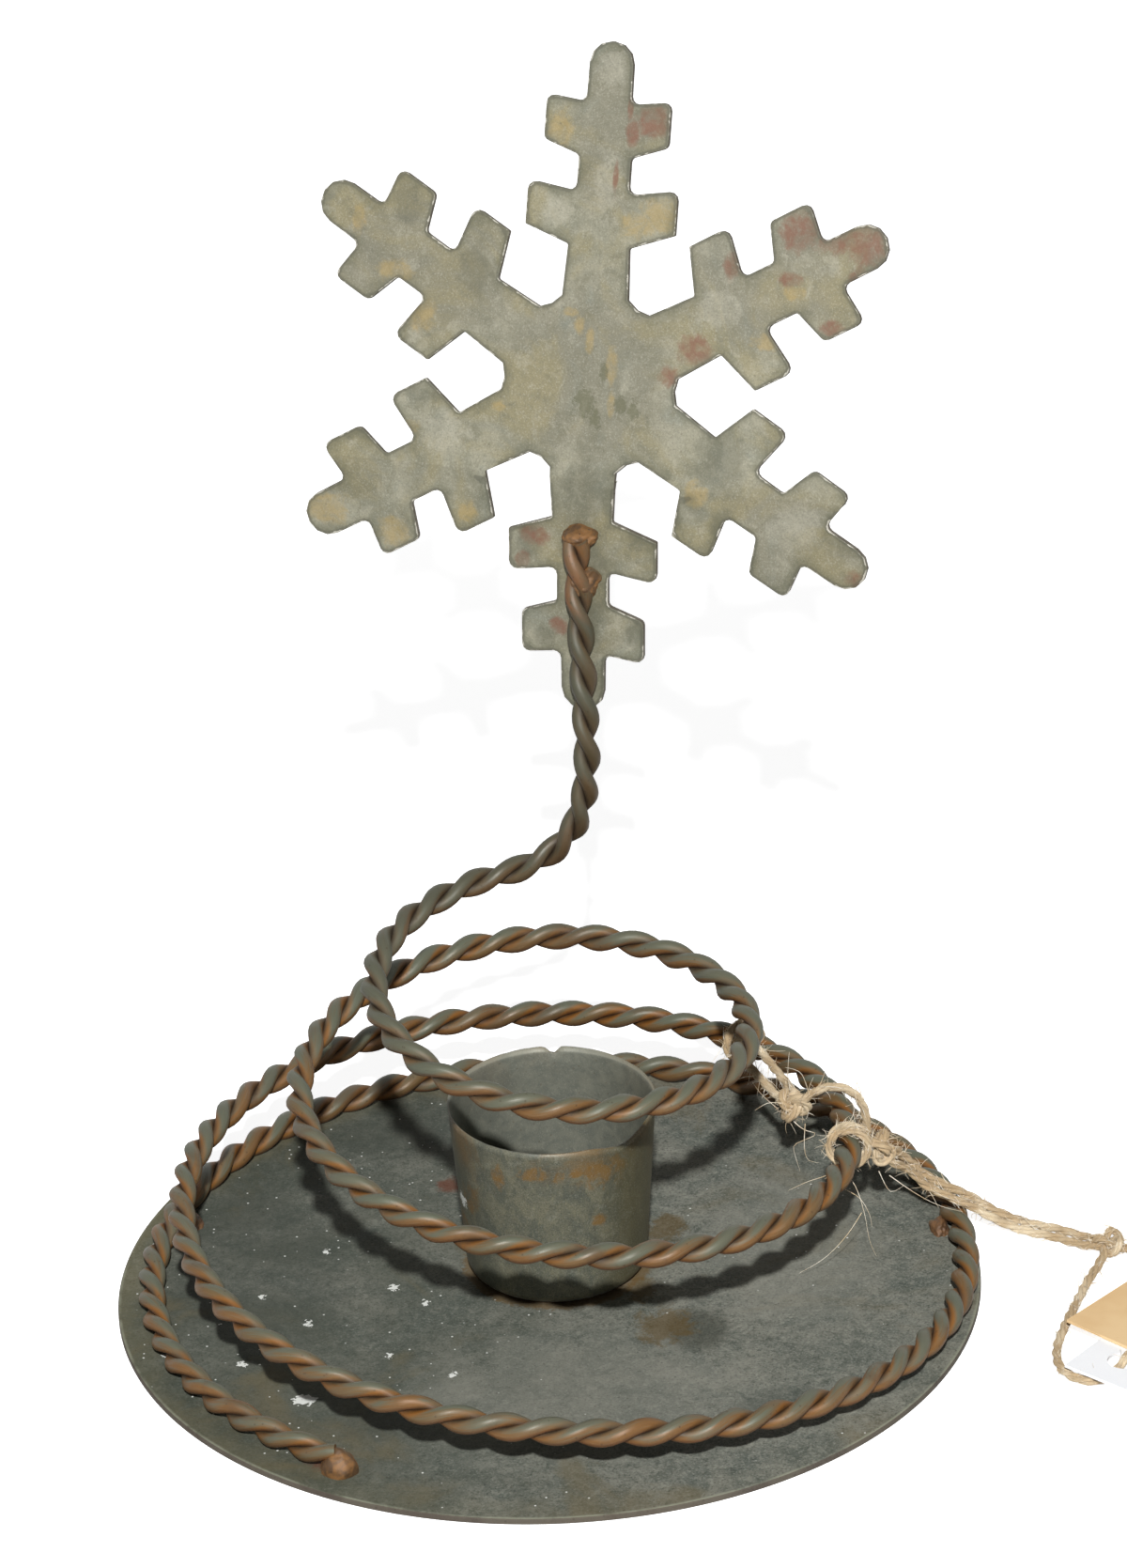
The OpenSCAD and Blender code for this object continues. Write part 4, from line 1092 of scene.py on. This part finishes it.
def makeFuzz():
    # Loose fibres that stand off the twine, finest at their ends
    rng = random.Random(7)
    runs, whiskers = [], []
    for points in fuzzRuns:
        run = lengthsOf(points)
        frames = framesAlong(points)
        for _ in range(int(run[-1] / mm * 6)):
            i = rng.randrange(len(points))
            ahead, side, up = frames[i]
            a = rng.uniform(0, math.tau)
            out = side * math.cos(a) + up * math.sin(a)
            p = points[i] + out * 0.42 * mm
            way = (out * rng.uniform(0.2, 0.9) + ahead * rng.choice((-1, 1)) * rng.uniform(0.5, 1.6)).normalized()
            turn = Vector((rng.uniform(-1, 1), rng.uniform(-1, 1), rng.uniform(-1, 0.6)))
            # One in twelve is a long whisker
            longOne = rng.random() < 0.085
            step0 = (rng.uniform(0.45, 0.85) if longOne else rng.uniform(0.1, 0.4)) * mm
            line = [p.copy()]
            for _ in range(5):
                way = (way + turn * 0.28).normalized()
                p = p + way * step0
                line.append(Vector((p.x, p.y, max(p.z, 0.06 * mm))))
            (whiskers if longOne else runs).append(line)
    for line in (
        [(34.5, 0.6, 14.6), (36.4, -1.4, 12.6), (37.4, -2.2, 9.4), (38, -2.4, 5.6), (38.8, -2.4, 3.4)],
        [(37.2, -1, 8.6), (35.2, -2, 6), (32.6, -2.4, 3.4), (29.6, -2.6, 1.6)],
        [(28.7, 14, 15.4), (27.1, 14, 15.5), (25.5, 13.6, 14.8)],
        [(28.3, 15, 14.1), (26.5, 15, 16), (25.3, 14.6, 18.1)],
        [(29.8, 15, 16.6), (29.6, 15, 19), (29.8, 15, 21.8)],
        [(32.1, 14, 16.3), (31.1, 14, 19.4), (29.2, 14, 20.3)],
        [(30.1, 12.6, 13.6), (31.2, 12, 12.8), (32.7, 12, 12.1), (31.2, 12, 11.3), (30, 12, 10.6),
         (30.2, 12, 9), (30.7, 12, 7.1)],
        [(31.4, 12, 13.6), (31.2, 11, 11.1), (31.6, 11, 9.2), (32.9, 11, 8.7)],
        [(34.6, 4, 12.6), (33.6, 4, 11.1), (31.1, 4, 10.2), (28.8, 4, 9.1)],
        [(39.5, 2.4, 12.2), (40.8, 2, 9.6), (42.4, 2, 10.3)],
        [(40.8, 3, 11.2), (43.8, 2, 9.2), (46.6, 2, 7.4), (49.4, 2, 6.4)],
        [(35.5, 2, 10.1), (37.2, 2, 8.8), (38.3, 2, 6.6), (38.6, 2, 4.8)],
    ):
        whiskers.append(smoothPath(line, 0.6))
    for name, lines, radius in (("looseFibres", runs, 0.032), ("whiskers", whiskers, 0.048)):
        piece = tube(name, lines, radius * mm, sides=4, taper=lambda t: 1.15 - 0.8 * t)
        place(piece, fibreMaterial, "jute_twine")


makeFuzz()
print("twine made")


# ---- tags

def card(name, dark, mid, light, flecks):
    material, tree, shader = newMaterial(name)
    here = millimetres(tree)
    pulp = cloud(tree, here, 1.3, 5, 0.7)
    threads = cloud(tree, scaled(tree, here, (0.35, 2.6, 2)), 1.6, 3, 0.6, 1.2)
    broad = cloud(tree, here, 0.12, 3, 0.5)
    colour = mix(tree, spread(tree, broad, 0.35, 0.65), mid, light)
    colour = mix(tree, calc(tree, "MULTIPLY", spread(tree, pulp, 0.55, 0.8), 0.5), colour, light)
    colour = mix(tree, calc(tree, "MULTIPLY", spread(tree, threads, 0.66, 0.8), flecks), colour, dark)
    height = calc(tree, "ADD", pulp, threads)
    setInputs(tree, shader, {
        "Base Color": colour, "Roughness": 0.8, "Normal": bump(tree, height, 0.25, 0.05),
    })
    return material


def paint(target, material):
    target.data.materials.clear()
    target.data.materials.append(material)


paint(nodes["brown_tag"], card("brownCard", rgb(176, 134, 84), rgb(222, 186, 136), rgb(232, 200, 152), 0.6))
paint(nodes["white_tag"], card("whiteCard", rgb(226, 228, 232), rgb(243, 245, 248), rgb(249, 250, 252), 0.3))
print("tags painted")


# ---- floor and light

lightSettings = {
    "key": {"from": (0, -765, 650), "size": 0.028, "power": 12.9},
    "back": {"from": (-120, 950, 95), "size": 0.32, "power": 4.6},
    "sky": 0.035,
}


def makeFloor():
    work = bmesh.new()
    bmesh.ops.create_grid(work, x_segments=1, y_segments=1, size=4)
    mesh = bpy.data.meshes.new("floor")
    work.to_mesh(mesh)
    work.free()
    piece = link("floor", mesh)
    material, tree, shader = newMaterial("floorPaper")
    # Seen by the camera the floor is lifted to a plain pale ground, and keeps its shadows. Far
    # from the object, where little lamp light falls, it is lifted to white
    seen = tree.nodes.new("ShaderNodeLightPath").outputs
    away = node(tree, "ShaderNodeVectorMath", {0: millimetres(tree)}, operation="LENGTH").outputs[1]
    lift = calc(tree, "ADD", 0.85, calc(tree, "MULTIPLY", spread(tree, away, 300, 800), 0.15))
    lift = calc(tree, "MULTIPLY", seen["Is Camera Ray"], lift)
    setInputs(tree, shader, {
        "Base Color": (0.86, 0.86, 0.86, 1), "Roughness": 0.9, "Specular IOR Level": 0.1,
        "Emission Color": (1, 1, 1, 1), "Emission Strength": lift,
    })
    piece.data.materials.append(material)


def areaLight(name, s):
    data = bpy.data.lights.new(name, "AREA")
    data.size = s["size"]
    data.energy = s["power"]
    lamp = bpy.data.objects.new(name, data)
    scene.collection.objects.link(lamp)
    spot = Vector(s["from"]) * mm
    aim = Vector((0, 0, 50)) * mm - spot
    lamp.matrix_world = Matrix.Translation(spot) @ aim.to_track_quat("-Z", "Y").to_matrix().to_4x4()
    return lamp


def makeWorld(strength):
    world = bpy.data.worlds.new("studio")
    scene.world = world
    world.use_nodes = True
    tree = world.node_tree
    ground = tree.nodes["Background"]
    seen = tree.nodes.new("ShaderNodeLightPath").outputs
    plain = calc(tree, "MAXIMUM", seen["Is Camera Ray"], seen["Is Transmission Ray"])
    plain = calc(tree, "MAXIMUM", plain, seen["Is Glossy Ray"])
    level = calc(tree, "MULTIPLY", plain, 1 - strength)
    ground.inputs["Color"].default_value = (1, 1, 1, 1)
    tree.links.new(calc(tree, "ADD", level, strength), ground.inputs["Strength"])


makeFloor()
areaLight("keyLight", lightSettings["key"])
areaLight("backLight", lightSettings["back"]).visible_glossy = False
makeWorld(lightSettings["sky"])
scene.view_settings.view_transform = "Standard"
print("floor and light made")
